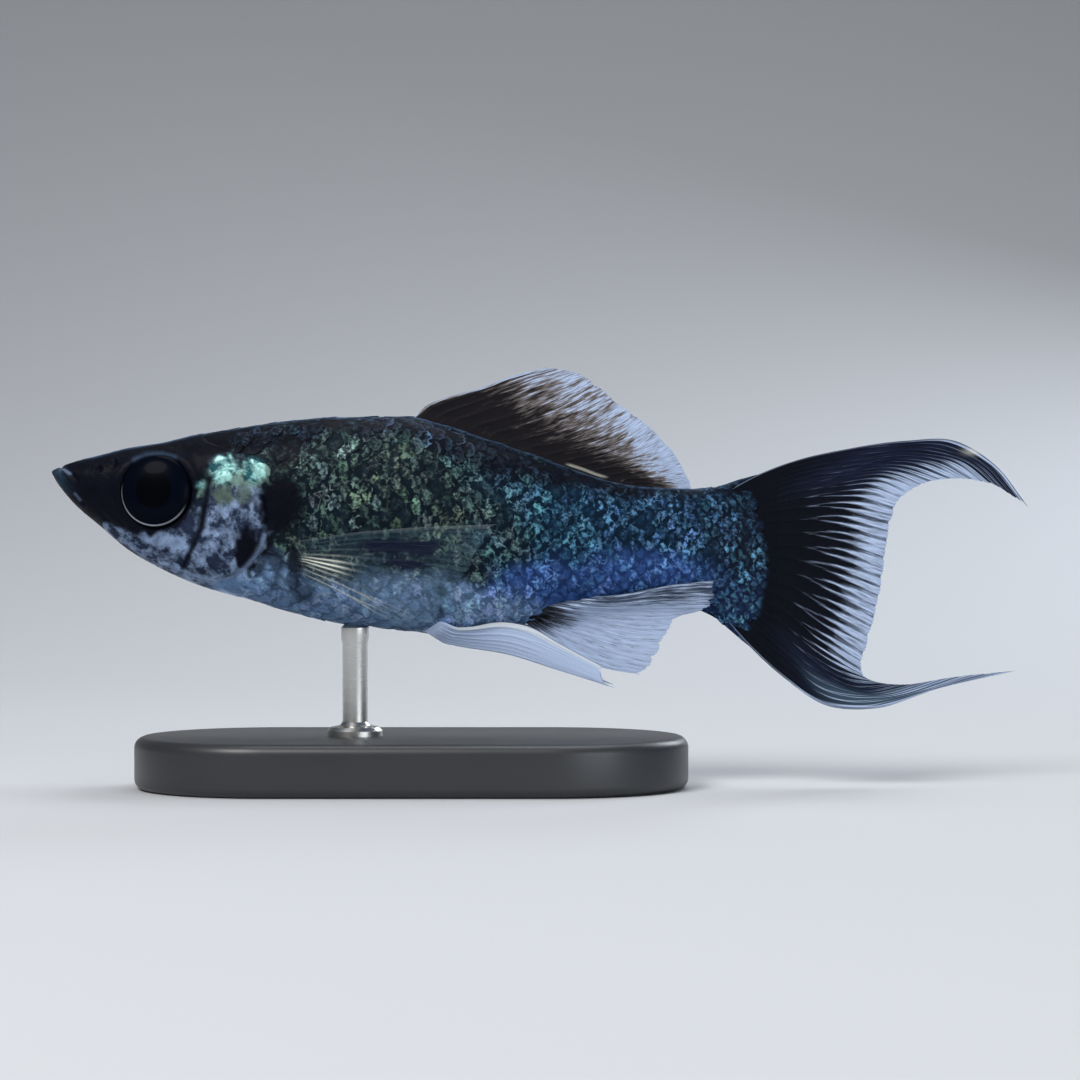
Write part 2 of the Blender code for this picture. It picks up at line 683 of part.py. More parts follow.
def make_eyes(parent, material):
    dome = [(0.92 * EYE_RADIUS, 0.32), (0.72 * EYE_RADIUS, 0.62), (0.42 * EYE_RADIUS, 0.84), (0.0, 0.94)]
    for word, side in (("left", -1), ("right", 1)):
        eye = add_mesh("eye_" + word, turned(eye_profile(0.0, dome), EYE_SIDES), parent, material)
        eye.matrix_local = eye_frame(side)


def make_gill_covers(parent, material):
    for word, side in (("left", -1), ("right", 1)):
        plate = gill_plate(side, 0.0, gill_height, lambda s, share: -GILL_DEPTH)
        add_mesh("gill_cover_" + word, plate, parent, material)


def make_stand(metal, plastic):
    """A flat base with rounded corners and one rod whose top follows the belly."""
    bpy.ops.mesh.primitive_cube_add(size=1, location=(BASE_CENTRE_X * MM, 0, BASE_THICKNESS / 2 * MM))
    base = bpy.context.object
    base.name = base.data.name = "stand_base"
    base.scale = (BASE_LENGTH * MM, BASE_WIDTH * MM, BASE_THICKNESS * MM)
    bpy.ops.object.transform_apply(location=False, rotation=False, scale=True)
    bm = bmesh.new()
    bm.from_mesh(base.data)
    upright = [e for e in bm.edges if abs(e.verts[0].co.z - e.verts[1].co.z) > 0.5 * BASE_THICKNESS * MM]
    bmesh.ops.bevel(bm, geom=upright, offset=BASE_CORNER * MM, segments=8, affect="EDGES", profile=0.5)
    bm.to_mesh(base.data)
    bm.free()
    bevel = base.modifiers.new("edges", "BEVEL")
    bevel.width = BASE_EDGE * MM
    bevel.segments = 3
    bevel.limit_method = "ANGLE"
    bevel.angle_limit = math.radians(50)
    base.data.materials.append(plastic)

    foot = BASE_THICKNESS + GAP - SWIM_HEIGHT
    turn = np.arange(ROD_SIDES) / ROD_SIDES * 2 * math.pi
    s, side = ROD_S + ROD_RADIUS * np.cos(turn), ROD_RADIUS * np.sin(turn)
    bm = bmesh.new()
    lower = add_ring(bm, np.stack([s, side, np.full(ROD_SIDES, foot)], axis=1))
    top = belly_under(s, side) - GAP
    upper = add_ring(bm, np.stack([s, side, top], axis=1))
    join_rings(bm, lower, upper)
    close_ring(bm, lower, (ROD_S, 0.0, foot))
    close_ring(bm, upper, (ROD_S, 0.0, float(belly_under(np.array(ROD_S), np.array(0.0))) - GAP))
    rod = add_mesh("stand_rod", bm, None, metal)
    rod.location.z = SWIM_HEIGHT * MM


def main():
    for obj in list(bpy.data.objects):
        bpy.data.objects.remove(obj)
    skin = make_material("skin", (0.07, 0.13, 0.14), 0.35, 0.2)
    cheek = make_material("gill_cover", (0.35, 0.42, 0.50), 0.3, 0.3)
    fin = make_material("fin", (0.45, 0.53, 0.65), 0.45)
    eye = make_material("eye", (0.01, 0.012, 0.03), 0.05)
    metal = make_material("stand_metal", (0.62, 0.62, 0.60), 0.3, 1.0)
    plastic = make_material("stand_base", (0.08, 0.085, 0.09), 0.45)

    fish = bpy.data.objects.new("fish", None)
    bpy.context.scene.collection.objects.link(fish)
    fish.location.z = SWIM_HEIGHT * MM

    make_head(fish, skin)
    make_jaw(fish, skin)
    make_gill_covers(fish, cheek)
    make_eyes(fish, eye)
    add_mesh("torso", loft(np.linspace(HEAD_END + GAP, TRUNK_END, 18)), fish, skin)
    add_mesh("tail_stalk", loft(np.linspace(TRUNK_END + GAP, STALK_END, 11)), fish, skin)

    make_dorsal(fish, fin)
    make_tail_part("tail_fin_upper", 5, 13, 0.0, 3.5 / 11, fish, fin)
    make_tail_part("tail_fin_fan", 7, 8, 3.5 / 11, 8.1 / 11, fish, fin)
    make_tail_part("tail_fin_lower", 5, 13, 8.1 / 11, 1.0, fish, fin)
    make_anal(fish, fin)
    for word, side in (("left", -1), ("right", 1)):
        make_pectoral("pectoral_fin_" + word, side, fish, fin)
        make_pelvic("pelvic_fin_" + word, side, fish, fin)

    make_stand(metal, plastic)


main()
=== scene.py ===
"""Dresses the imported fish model: skin, scales, eyes, fins, a display stand and a studio.

The fish faces -X and its left side faces the camera at -Y. Along the fish, s is millimetres behind the
tip of the snout and h is millimetres above the swim line, as in the solids.
"""
import math

import bmesh
import bpy
import numpy as np
from mathutils import Matrix, Vector


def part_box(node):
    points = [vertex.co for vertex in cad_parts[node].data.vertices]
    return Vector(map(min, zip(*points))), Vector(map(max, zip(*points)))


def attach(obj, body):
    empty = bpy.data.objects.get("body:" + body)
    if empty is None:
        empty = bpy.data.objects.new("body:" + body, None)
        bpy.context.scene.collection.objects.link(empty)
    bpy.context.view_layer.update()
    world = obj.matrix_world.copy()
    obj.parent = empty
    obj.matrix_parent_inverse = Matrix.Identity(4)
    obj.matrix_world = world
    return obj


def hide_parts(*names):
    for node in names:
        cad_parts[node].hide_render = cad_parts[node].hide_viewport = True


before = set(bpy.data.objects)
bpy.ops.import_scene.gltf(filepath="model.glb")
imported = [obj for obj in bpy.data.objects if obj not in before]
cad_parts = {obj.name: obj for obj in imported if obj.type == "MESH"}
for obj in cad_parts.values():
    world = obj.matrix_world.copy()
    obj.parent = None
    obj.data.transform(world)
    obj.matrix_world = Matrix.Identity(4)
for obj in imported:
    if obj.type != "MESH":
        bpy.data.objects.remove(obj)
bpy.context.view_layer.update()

bl_info = {
    "name": "Sailfin Molly Model",
    "version": (1, 0, 0),
    "blender": (4, 5, 0),
    "location": "View3D > Sidebar > Molly",
    "description": "Builds the skin, scales, eyes, fins, stand and studio of a life-size molly model",
    "category": "Object",
}

MM = 0.001
MIDDLE_S = 42.35  # s at the origin
SWIM_HEIGHT = 21.5  # height of the swim line over the floor

# The body's profile: s, height of the back, height of the belly, half width.
PROFILE = (
    (0.00, 5.92, 5.92, 0.00),
    (0.17, 6.09, 5.57, 0.80),
    (0.43, 6.22, 5.05, 1.20),
    (1.04, 6.48, 4.22, 1.75),
    (2.09, 6.87, 3.00, 2.35),
    (4.18, 7.40, 1.22, 3.10),
    (6.79, 8.06, -0.96, 3.75),
    (9.57, 8.48, -2.55, 4.25),
    (12.88, 9.27, -4.00, 4.68),
    (16.36, 9.87, -5.05, 4.95),
    (20.27, 10.44, -6.26, 5.15),
    (24.19, 10.79, -7.22, 5.20),
    (27.67, 10.85, -7.66, 5.15),
    (30.97, 10.86, -8.05, 5.05),
    (33.76, 10.27, -8.35, 4.85),
    (36.37, 9.44, -8.38, 4.60),
    (38.98, 8.57, -7.90, 4.25),
    (41.50, 7.70, -7.30, 3.90),
    (43.76, 6.87, -6.45, 3.60),
    (46.02, 6.09, -5.92, 3.30),
    (48.46, 5.26, -5.74, 3.00),
    (51.16, 4.79, -5.70, 2.70),
    (53.33, 4.65, -5.74, 2.45),
    (55.50, 4.61, -5.98, 2.18),
    (57.42, 4.72, -6.75, 1.80),
    (58.46, 4.96, -7.57, 1.50),
    (59.68, 5.37, -8.62, 1.10),
    (61.20, 5.72, -9.75, 0.52),
    (63.20, 6.15, -11.15, 0.05),
)
SKIN_END = PROFILE[-1][0]
# How square the section is: s, powers above and below its widest level, that level's share of the depth.
SECTIONS = (
    (0.0, 2.5, 2.1, 0.56),
    (8.0, 2.5, 2.1, 0.53),
    (18.0, 2.35, 2.05, 0.52),
    (27.0, 2.15, 2.1, 0.54),
    (34.0, 2.0, 2.05, 0.54),
    (42.0, 1.9, 2.0, 0.51),
    (54.0, 1.9, 1.9, 0.50),
    (59.68, 1.5, 1.5, 0.50),
    (63.2, 1.6, 1.6, 0.50),
)
MOUTH_TOP = (0.70, 6.61)
MOUTH_CHIN = (2.96, 2.18)
EYE_S, EYE_H, EYE_SIDE, EYE_RADIUS = 9.57, 4.18, 3.8, 3.1
EYE_FORWARD, EYE_UPWARD = math.radians(9.0), math.radians(6.5)
GILL_OUTLINE = (
    (19.05, 0.43), (19.14, 2.61), (18.53, 4.70), (16.79, 6.09), (14.79, 5.92), (13.92, 4.35), (13.57, 1.30),
    (12.85, -0.70), (12.25, -2.16), (13.14, -3.13), (14.70, -3.48), (16.36, -2.96), (18.01, -1.48),
)
PREOPERCLE = ((14.2, 5.2), (13.92, 3.3), (13.5, 1.04), (12.8, -0.43), (11.75, -2.44))

# Rays of each fin that guide all the others, each from its root to its tip, as (s, h).
DORSAL_GUIDES = (
    ((31.15, 11.14), (34.36, 12.40), (37.24, 13.22), (40.28, 14.35), (43.15, 15.05)),
    ((33.76, 10.35), (37.24, 11.48), (41.59, 13.22), (45.50, 14.70)),
    ((37.24, 9.22), (40.72, 10.09), (44.63, 11.74), (47.68, 13.40)),
    ((40.72, 8.00), (44.20, 8.61), (47.41, 9.83), (50.11, 11.35)),
    ((44.02, 6.79), (46.81, 7.30), (49.85, 8.26), (52.20, 9.70)),
    ((46.81, 5.83), (48.98, 6.25), (51.59, 6.85), (54.11, 7.70)),
    ((49.42, 5.15), (51.16, 5.20), (53.33, 5.30), (55.35, 5.50)),
    ((51.20, 4.70), (52.60, 4.52), (54.10, 4.42), (55.72, 4.40)),
)
TAIL_GUIDES = (
    (
        (58.20, 3.90), (61.60, 5.75), (64.73, 6.92), (68.90, 7.87),
        (74.12, 8.61), (78.56, 8.57), (81.78, 6.61), (84.70, 2.87),
    ),
    ((58.40, 3.50), (65.08, 6.18), (70.30, 7.13), (75.52, 7.57), (79.00, 6.79), (81.61, 4.78)),
    ((58.50, 3.00), (65.08, 5.31), (69.43, 6.09), (73.78, 6.44), (77.69, 5.22)),
    ((58.60, 2.30), (64.21, 4.00), (68.56, 4.78), (72.04, 5.05), (74.47, 4.05)),
    ((58.90, 1.50), (64.21, 2.52), (68.56, 2.78), (73.08, 1.83)),
    ((58.90, 0.00), (64.21, 0.17), (68.56, -0.26), (72.56, -1.48)),
    ((58.90, -1.60), (64.21, -2.26), (68.12, -3.48), (72.04, -5.13)),
    ((58.90, -3.20), (63.77, -4.78), (67.25, -6.70), (71.08, -8.79)),
    ((58.60, -4.20), (63.34, -7.13), (66.82, -9.57), (70.73, -11.83)),
    ((58.50, -5.00), (63.34, -8.96), (66.82, -11.57), (70.30, -13.05), (74.21, -12.57)),
    ((58.40, -5.70), (63.68, -10.53), (67.51, -13.31), (72.04, -13.75), (79.00, -11.83)),
    (
        (58.20, -6.40), (61.20, -9.75), (63.68, -11.96), (67.51, -14.44),
        (71.34, -14.70), (77.26, -12.92), (84.22, -11.35),
    ),
)
ANAL_GUIDES = (
    ((41.30, -7.25), (43.70, -9.05), (47.40, -10.95), (51.30, -11.72)),
    ((41.45, -6.75), (44.60, -8.20), (48.80, -9.75), (52.46, -10.60)),
    ((41.65, -6.20), (45.60, -7.25), (50.10, -8.35), (53.59, -8.61)),
    ((42.10, -5.70), (46.60, -6.45), (51.20, -7.00), (54.64, -6.85)),
    ((43.00, -5.35), (47.60, -5.75), (52.30, -5.85), (57.42, -5.80)),
    ((44.60, -5.20), (48.80, -5.20), (53.07, -4.75), (57.77, -4.65)),
    ((46.60, -5.05), (50.10, -4.60), (53.33, -3.95), (57.85, -3.45)),
)
PELVIC_GUIDES = (
    ((32.36, -8.55), (35.50, -9.20), (39.67, -9.87), (43.85, -11.14), (48.89, -12.70)),
    ((32.80, -8.25), (35.93, -8.80), (39.85, -9.31), (44.20, -10.79), (48.20, -12.35)),
    ((33.23, -7.95), (36.19, -8.30), (39.85, -8.53), (43.76, -9.83), (47.85, -11.66)),
    ((33.76, -7.55), (36.37, -7.50), (39.20, -7.10), (41.40, -7.45), (44.20, -9.00), (47.75, -10.90)),
)
PECTORAL_GUIDES = (
    ((21.84, -0.09), (25.93, 0.52), (32.02, 1.04), (38.80, 1.30)),
    ((21.84, -0.78), (26.36, -0.43), (32.02, -0.52), (37.58, -1.04)),
    ((21.84, -1.35), (25.93, -1.92), (31.15, -2.90), (35.76, -3.84)),
    ((21.84, -1.85), (25.49, -3.10), (29.84, -4.70), (33.76, -6.26)),
    ((21.84, -2.87), (24.62, -4.18), (28.10, -6.09), (31.49, -7.74)),
)

# The front edge of the scales: heights, and s at each.
COAT_FRONT = ((-7, -4.5, -2, 1, 4, 6.5, 8.5, 11), (15.5, 16.5, 18.6, 19.6, 19.8, 19.2, 13.8, 12.0))
NOSTRILS = ((4.5, 6.15, 0.27), (5.75, 6.65, 0.32))  # s, h and radius
# Folds of the head: depth, width and line.
FOLDS = (
    (0.16, 0.13, ((2.05, 4.35), (2.55, 3.55), (3.1, 3.1))),
    (0.10, 0.16, ((0.95, 6.35), (1.7, 6.0), (2.5, 5.2), (2.75, 4.3))),
    (0.17, 0.16, PREOPERCLE),
    (0.07, 0.22, ((5.0, 1.9), (8.0, -0.2), (11.0, -1.6))),
)

# Edges of the markings: s, and height at each, or depth below the back.
BLUE_LINE = ((30, 37, 41, 45, 50, 54, 58, 63), (-6.5, -3.9, -1.9, -1.1, -0.9, -0.8, -2.0, -3.5))
BACK_DEPTH = ((10, 14, 20, 24, 31, 38, 45, 52, 60), (4.2, 3.6, 3.4, 2.2, 2.3, 3.5, 2.6, 1.4, 1.0))
BELLY_LINE = (
    (3, 7, 12, 20, 24, 29, 34, 38, 42, 45, 48),
    (1.5, -1.4, -2.4, -1.2, -3.3, -3.1, -2.9, -4.2, -5.3, -6.2, -7.5),
)
MASK_LINE = (
    (0, 4.2, 4.7, 7.0, 7.9, 9.7, 11.3, 12.3, 13.0, 13.6),
    (-5, -5, 1.5, 0.75, 0.4, 0.6, 0.8, 2.0, 3.2, 5.0),
)
# Oval spots: s, h, half length, half height and fullness.
YELLOW_PATCHES = ((37.5, 1.3, 4.5, 1.8, 0.75), (28.5, 5.2, 3.5, 2.2, 0.4), (44.0, 0.3, 1.5, 1.5, 0.4))
BRIGHT_PATCHES = ((15.4, 6.05, 1.15, 1.2, 1.0), (18.0, 6.0, 0.95, 1.15, 1.0), (13.7, 4.7, 0.6, 0.4, 0.7))
BEIGE_PATCHES = ((15.4, 3.8, 1.2, 0.8, 1.0), (17.2, 3.7, 0.8, 0.8, 0.85))
SHADOWS = (
    (17.5, -0.9, 1.0, 2.0, 1.0), (20.4, 3.0, 2.0, 2.6, 1.0), (19.0, -0.5, 0.8, 1.5, 0.95),
    (18.3, -2.5, 0.55, 0.6, 0.8), (21.5, -2.2, 0.7, 1.8, 0.9), (22.0, -4.6, 1.3, 0.9, 0.7),
    (19.9, -3.9, 0.6, 0.5, 0.6), (20.1, -2.0, 0.6, 1.3, 0.7), (20.6, 7.4, 1.2, 1.6, 0.8),
    (14.4, 7.9, 1.8, 0.5, 0.8),
)
BELLY_SPOTS = (
    (35.1, -3.2, 0.6, 0.5, 0.9), (33.9, -4.4, 0.6, 0.5, 0.8), (33.7, -6.1, 0.5, 0.5, 0.7),
    (36.2, -2.4, 0.5, 0.4, 0.6),
)
GILL_RIM = (
    (19.0, 0.5), (18.7, -0.5), (18.1, -1.45), (17.3, -2.3), (16.4, -2.95), (15.4, -3.35), (14.2, -3.45),
    (12.3, -3.0),
)
# Fine pale lines on the gill cover's rim, the brow and the lips: fullness, width, colour, glitter and line.
FINE_LINES = (
    (0.85, 0.17, "cheek", 0.9, GILL_RIM),
    (0.28, 0.20, "rim", 0.7, ((7.6, 6.9), (8.6, 7.35), (10.0, 7.4), (11.2, 7.1))),
    (0.35, 0.14, "cheek", 0.7, ((2.3, 3.95), (2.7, 3.45))),
    (0.35, 0.14, "cheek", 0.7, ((0.85, 6.35), (1.3, 6.1), (1.9, 5.75))),
)

SKIN_COLUMNS, SKIN_ROWS = 460, 208
SCALES_FROM, SCALES_TO = 12.2, 62.0
# How far a scale strays from its place, how much it tilts and how deep it is set in, beyond the scale bed.
SCATTER, TILT, SUNK = 0.045, 0.035, 0.07
# Height of the scales as a share of the scale size: s and share.
SCALE_SIZES = ((12, 0.80), (18, 0.93), (26, 1.0), (34, 1.0), (42, 0.92), (50, 0.78), (57, 0.68), (62, 0.62))
BAKE_SPAN = 66.0  # millimetres of skin across the whole OFBake map
BAKE_MARGIN = 0.02  # where the snout lies on that map
BAKE_PATCH = 0.003  # size of one scale's own patch on it
# Colour and alpha at the skin's two end points.
POLE_GROUND, POLE_GLITTER = (0.02, 0.02, 0.03, 1.0), (0.03, 0.04, 0.06, 0.3)
WET_SKIN = {"Coat_Weight": 0.014, "Coat_Roughness": 0.25, "Specular_IOR_Level": 0.035}

TAIL_ROOT, TAIL_TIP = 59.68, 84.7

BASE_CORNER = 0.012
ROD_S = 26.4
# The rod's outline: millimetres out from its radius, and up from the base's top or from the belly.
ROD_FOOT = ((1.3, -0.4), (1.3, 0.45), (1.05, 0.75), (0.25, 0.9), (0.0, 1.2))
ROD_CUP = ((0.0, -1.5), (0.12, -0.9), (0.12, -0.1), (-0.2, 0.25))

FLOOR_SIZE, WALL_HEIGHT, WALL_SWEEP = (3.0, 1.65), 2.0, 0.7
CAMERA_X = 0.00013  # the photograph's middle
FISH_MIDDLE = (-0.004, 0.0, SWIM_HEIGHT * MM)
# The lights: name, place, size, power, colour and what they face.
LIGHTS = (
    ("key", (-0.20, -0.30, 0.36), 0.24, 2.0, (1.0, 0.98, 0.95), FISH_MIDDLE),
    ("fill", (0.30, -0.36, 0.07), 0.30, 0.85, (0.90, 0.95, 1.0), FISH_MIDDLE),
    ("top", (0.05, 0.12, 0.42), 0.34, 0.95, (0.96, 0.98, 1.0), FISH_MIDDLE),
    ("rim", (0.25, 0.34, 0.22), 0.16, 0.6, (0.86, 0.93, 1.0), FISH_MIDDLE),
    ("wall", (0.0, 0.25, 0.75), 0.60, 0.7, (1.0, 1.0, 1.0), (0.0, 0.75, 0.08)),
)


# Curves


def cubic(t, start, end, start_slope, end_slope, span):
    """The cubic from start to end with these slopes, at share t of the span."""
    return (
        start * (1 + 2 * t) * (1 - t) ** 2
        + end * t * t * (3 - 2 * t)
        + start_slope * span * t * (1 - t) ** 2
        - end_slope * span * t * t * (1 - t)
    )


def smooth(points):
    """A monotone cubic through (x, value) points, as a function of an array of x."""
    x_at, values = np.array(points, float).T
    spans = np.diff(x_at)
    slopes = np.diff(values) / spans
    before, after = slopes[:-1], slopes[1:]
    rising = before * after > 0
    total = np.where(rising, before + after, 1.0)
    inner = np.where(rising, 2 * before * after / total, 0.0)
    tangents = np.concatenate([slopes[:1], inner, slopes[-1:]])

    def value(x):
        x = np.clip(np.asarray(x, float), x_at[0], x_at[-1])
        i = np.clip(np.searchsorted(x_at, x) - 1, 0, len(spans) - 1)
        t = (x - x_at[i]) / spans[i]
        return cubic(t, values[i], values[i + 1], tangents[i], tangents[i + 1], spans[i])

    return value


def lengths_along(points, axis=0):
    """Length from the start of a line of points to each of its points."""
    steps = np.linalg.norm(np.diff(points, axis=axis), axis=-1)
    return np.insert(np.cumsum(steps, axis=axis), 0, 0.0, axis=axis)


def through(points):
    """A smooth curve through points, as a function of the share of its length."""
    places = np.array(points, float)
    at = lengths_along(places)
    at /= at[-1]
    slopes = np.gradient(places, at, axis=0)

    def value(share):
        i = np.clip(np.searchsorted(at, share) - 1, 0, len(at) - 2)
        span = (at[i + 1] - at[i])[..., None]
        t = (share - at[i])[..., None] / span
        return cubic(t, places[i], places[i + 1], slopes[i], slopes[i + 1], span)

    return value


def rise(x, start=0.0, over=1.0):
    """0 up to the start, then a smooth rise to 1."""
    x = np.clip((x - start) / over, 0, 1)
    return x * x * (3 - 2 * x)


def fall(x, start=0.0, over=1.0):
    """1 up to the start, then a smooth fall to 0."""
    return 1 - rise(x, start, over)


def hump(x, width):
    return np.exp(-((x / width) ** 2))


def soft_max(a, b, blend):
    return 0.5 * (a + b + np.sqrt((a - b) ** 2 + blend**2))


def line_distance(s, h, line):
    """Distance to a line of points."""
    best = np.full(np.shape(s), np.inf)
    for (s0, h0), (s1, h1) in zip(line, line[1:]):
        ds, dh = s1 - s0, h1 - h0
        t = np.clip(((s - s0) * ds + (h - h0) * dh) / (ds * ds + dh * dh), 0, 1)
        best = np.minimum(best, np.hypot(s - s0 - t * ds, h - h0 - t * dh))
    return best


def rounded(points, per_point=4):
    """A closed line of points rounded by a smooth curve, with its first point again at its end."""
    here = np.array(points, float)
    after = np.roll(here, -1, axis=0)
    slope = (after - np.roll(here, 1, axis=0)) / 2
    next_slope = np.roll(slope, -1, axis=0)
    spans = [cubic(t / per_point, here, after, slope, next_slope, 1.0) for t in range(per_point)]
    line = np.stack(spans, axis=1).reshape(-1, 2)
    return np.concatenate([line, line[:1]])


def grain(s, h, size, seed):
    """A smooth random field from -1 to 1 with lumps of about this size in millimetres."""
    rng = np.random.default_rng(seed)
    total = np.zeros(np.broadcast_shapes(np.shape(s), np.shape(h)))
    for _ in range(7):
        angle, phase, other = rng.uniform(0, 2 * math.pi, 3)
        reach = size * rng.uniform(0.75, 1.35)
        along = (s * math.cos(angle) + h * math.sin(angle)) * 2 * math.pi / reach
        across = (h * math.cos(angle) - s * math.sin(angle)) * 2 * math.pi / (reach * 1.7)
        total += np.sin(along + phase + 1.3 * np.sin(across + other))
    return total / 4.2


# The body's surface


def by_root(column):
    """A profile column as a function of s, smooth in the root of s so that the snout is round."""
    return smooth([(math.sqrt(row[0]), row[column]) for row in PROFILE])


BACK, BELLY, HALF_WIDTH = map(by_root, (1, 2, 3))
UPPER_POWER, LOWER_POWER, WIDEST_SHARE = (smooth([(row[0], row[c]) for row in SECTIONS]) for c in (1, 2, 3))


def section(s):
    """Back, belly, half width, widest level, upper power and lower power of the body at s."""
    root = np.sqrt(np.maximum(s, 0))
    back, belly = BACK(root), BELLY(root)
    level = belly + (back - belly) * WIDEST_SHARE(s)
    return back, belly, HALF_WIDTH(root), level, UPPER_POWER(s), LOWER_POWER(s)


def flank(s, h, grow=0.0):
    """Half width of the body at (s, h), or of the body grown by this much all round; 0 off its outline."""
    back, belly, half, level, upper, lower = section(s)
    above = h >= level
    reach = np.maximum(np.where(above, back - level, level - belly) + grow, 1e-6)
    power = np.where(above, upper, lower)
    share = np.clip(np.abs(h - level) / reach, 0, 1)
    return (half + grow) * (1 - share**power) ** (1 / power)


def belly_under(s, side):
    """Height of the belly's underside at a place off the midline."""
    _, belly, half, level, _, lower = section(s)
    share = np.clip(np.abs(side) / half, 0, 1)
    return level - (level - belly) * (1 - share**lower) ** (1 / lower)


def ring_points(s, turn):
    """Points (s, side, h) of the body for grids of s and of the turn round it, up from the right flank."""
    back, belly, half, level, upper, lower = section(s)
    c, d = np.cos(turn), np.sin(turn)
    power = np.where(d >= 0, upper, lower)
    reach = np.where(d >= 0, back - level, level - belly)
    side = half * np.sign(c) * np.abs(c) ** (2 / power)
    h = level + reach * np.sign(d) * np.abs(d) ** (2 / power)
    return np.stack([s, side, h], axis=-1)


def unit(vectors):
    return vectors / np.maximum(np.linalg.norm(vectors, axis=-1, keepdims=True), 1e-9)


def grid_normals(points):
    """Unit normals of a grid of points, from its neighbours."""
    return unit(np.cross(np.gradient(points, axis=0), np.gradient(points, axis=1)))


def outwards(normals, points):
    """Normals of a grid, all turned over if they point to the midline."""
    return normals * np.sign((normals[:, :, 1] * points[:, :, 1]).sum())


class BodyMap:
    """The right flank as a grid over s and over the arc up or down from its widest level."""

    def __init__(self, columns=500, rows=161):
        self.s = np.linspace(math.sqrt(0.02), math.sqrt(SKIN_END), columns) ** 2
        turn = np.linspace(-math.pi / 2, math.pi / 2, 4 * rows + 1)
        fine = ring_points(*np.meshgrid(self.s, turn, indexing="ij"))
        arc = lengths_along(fine, axis=1)
        arc -= arc[:, 2 * rows, None]
        self.down, self.up = -arc[:, 0], arc[:, -1]
        self.share = np.linspace(-1, 1, rows)
        self.points = np.empty((columns, rows, 3))
        for i in range(columns):
            wanted = self.share * np.where(self.share < 0, self.down[i], self.up[i])
            for axis in range(3):
                self.points[i, :, axis] = np.interp(wanted, arc[i], fine[i, :, axis])
        normals = grid_normals(self.points)
        normals[:, [0, -1], 1] = 0
        self.normals = outwards(unit(normals), self.points)

    def arcs(self, s):
        """Arc from the widest level down to the belly and up to the back."""
        return np.interp(s, self.s, self.down), np.interp(s, self.s, self.up)

    def share_at(self, s, arc):
        """An arc as a share, from -1 at the belly to 1 at the back."""
        down, up = self.arcs(s)
        return np.where(arc < 0, arc / down, arc / up)

    def at(self, s, arc, lift=0.0):
        """Points of the right flank at (s, arc), lifted along its normal; past the midline they go over."""
        share = self.share_at(s, arc)
        over = np.abs(share) > 1
        share = np.where(over, np.sign(share) * (2 - np.abs(share)), share)
        i = np.clip(np.searchsorted(self.s, s) - 1, 0, len(self.s) - 2)
        a = np.clip((s - self.s[i]) / (self.s[i + 1] - self.s[i]), 0, 1)[..., None]
        place = (np.clip(share, -1, 1) + 1) / 2 * (len(self.share) - 1)
        j = np.clip(place.astype(int), 0, len(self.share) - 2)
        b = (place - j)[..., None]

        def read(grid):
            low = grid[i, j] * (1 - b) + grid[i, j + 1] * b
            high = grid[i + 1, j] * (1 - b) + grid[i + 1, j + 1] * b
            return low * (1 - a) + high * a

        points = read(self.points) + read(self.normals) * np.asarray(lift)[..., None]
        points[..., 1] *= np.where(over, -1, 1)
        return points


BODY = BodyMap()
GILL_LINE = rounded(GILL_OUTLINE)


def mouth_distance(s, h):
    """Signed distance behind the plane of the mouth."""
    ds, dh = MOUTH_CHIN[0] - MOUTH_TOP[0], MOUTH_CHIN[1] - MOUTH_TOP[1]
    return ((s - MOUTH_TOP[0]) * -dh + (h - MOUTH_TOP[1]) * ds) / math.hypot(ds, dh)


def scaled_from(h):
    """s of the front edge of the scales at a height."""
    return np.interp(h, *COAT_FRONT)


def gill_depth(s, h):
    """Distance in from the gill cover's outline, negative outside it."""
    inside = np.zeros(np.shape(s), bool)
    for (s0, h0), (s1, h1) in zip(GILL_LINE, GILL_LINE[1:]):
        if h0 != h1:
            inside ^= ((h0 > h) != (h1 > h)) & (s < s0 + (h - h0) / (h1 - h0) * (s1 - s0))
    return line_distance(s, h, GILL_LINE) * np.where(inside, 1, -1)


def gill_lift(s, h):
    """Height of the gill cover over the head, with a step down behind its free edge."""
    depth = gill_depth(s, h)
    edge = 0.30 * rise(depth, -0.12, 0.42) - 0.24 * hump(depth + 0.34, 0.24)
    return rise(s, 12.5, 3.5) * edge + 0.06 * rise(depth, 0, 0.5)


def relief(s, h, inset):
    """Height of the skin over the plain body: folds of the head, and the inset that the scales lie in."""
    out = -0.04 - inset * rise((s - scaled_from(h)) / 1.2 + 0.3)
    slit = mouth_distance(s, h)
    on_side = 0.25 + 0.75 * rise((BACK(np.sqrt(s)) - h) / 0.7)
    out += rise(h, 3.9, 0.5) * on_side * (0.09 * hump(np.abs(slit) - 0.40, 0.28) - 0.24 * hump(slit, 0.11))
    for depth, width, line in FOLDS:
        out -= depth * hump(line_distance(s, h, line), width)
    eye = np.hypot(s - EYE_S, h - EYE_H) - EYE_RADIUS
    out += 0.10 * hump(eye - 0.5, 0.40) - 0.9 * rise((0.12 - eye) / 0.34)
    for s_at, h_at, radius in NOSTRILS:
        pit = np.hypot(s - s_at, h - h_at)
        out += 0.04 * hump(pit - radius - 0.12, 0.14) - 0.22 * hump(pit, radius)
    out += gill_lift(s, h)
    shoulder = np.hypot((s - 21.4) / 1.1, (h + 1.5) / 1.7)
    return out + 0.22 * hump(shoulder, 1.0) + fall(s, 12.0, 8.0) * 0.010 * grain(s, h, 0.9, 5)


def in_room(points):
    """Points (s, side, h) in millimetres as places in the room in metres."""
    return np.asarray(points, float) * MM + np.array([-MIDDLE_S * MM, 0.0, SWIM_HEIGHT * MM])


# The markings


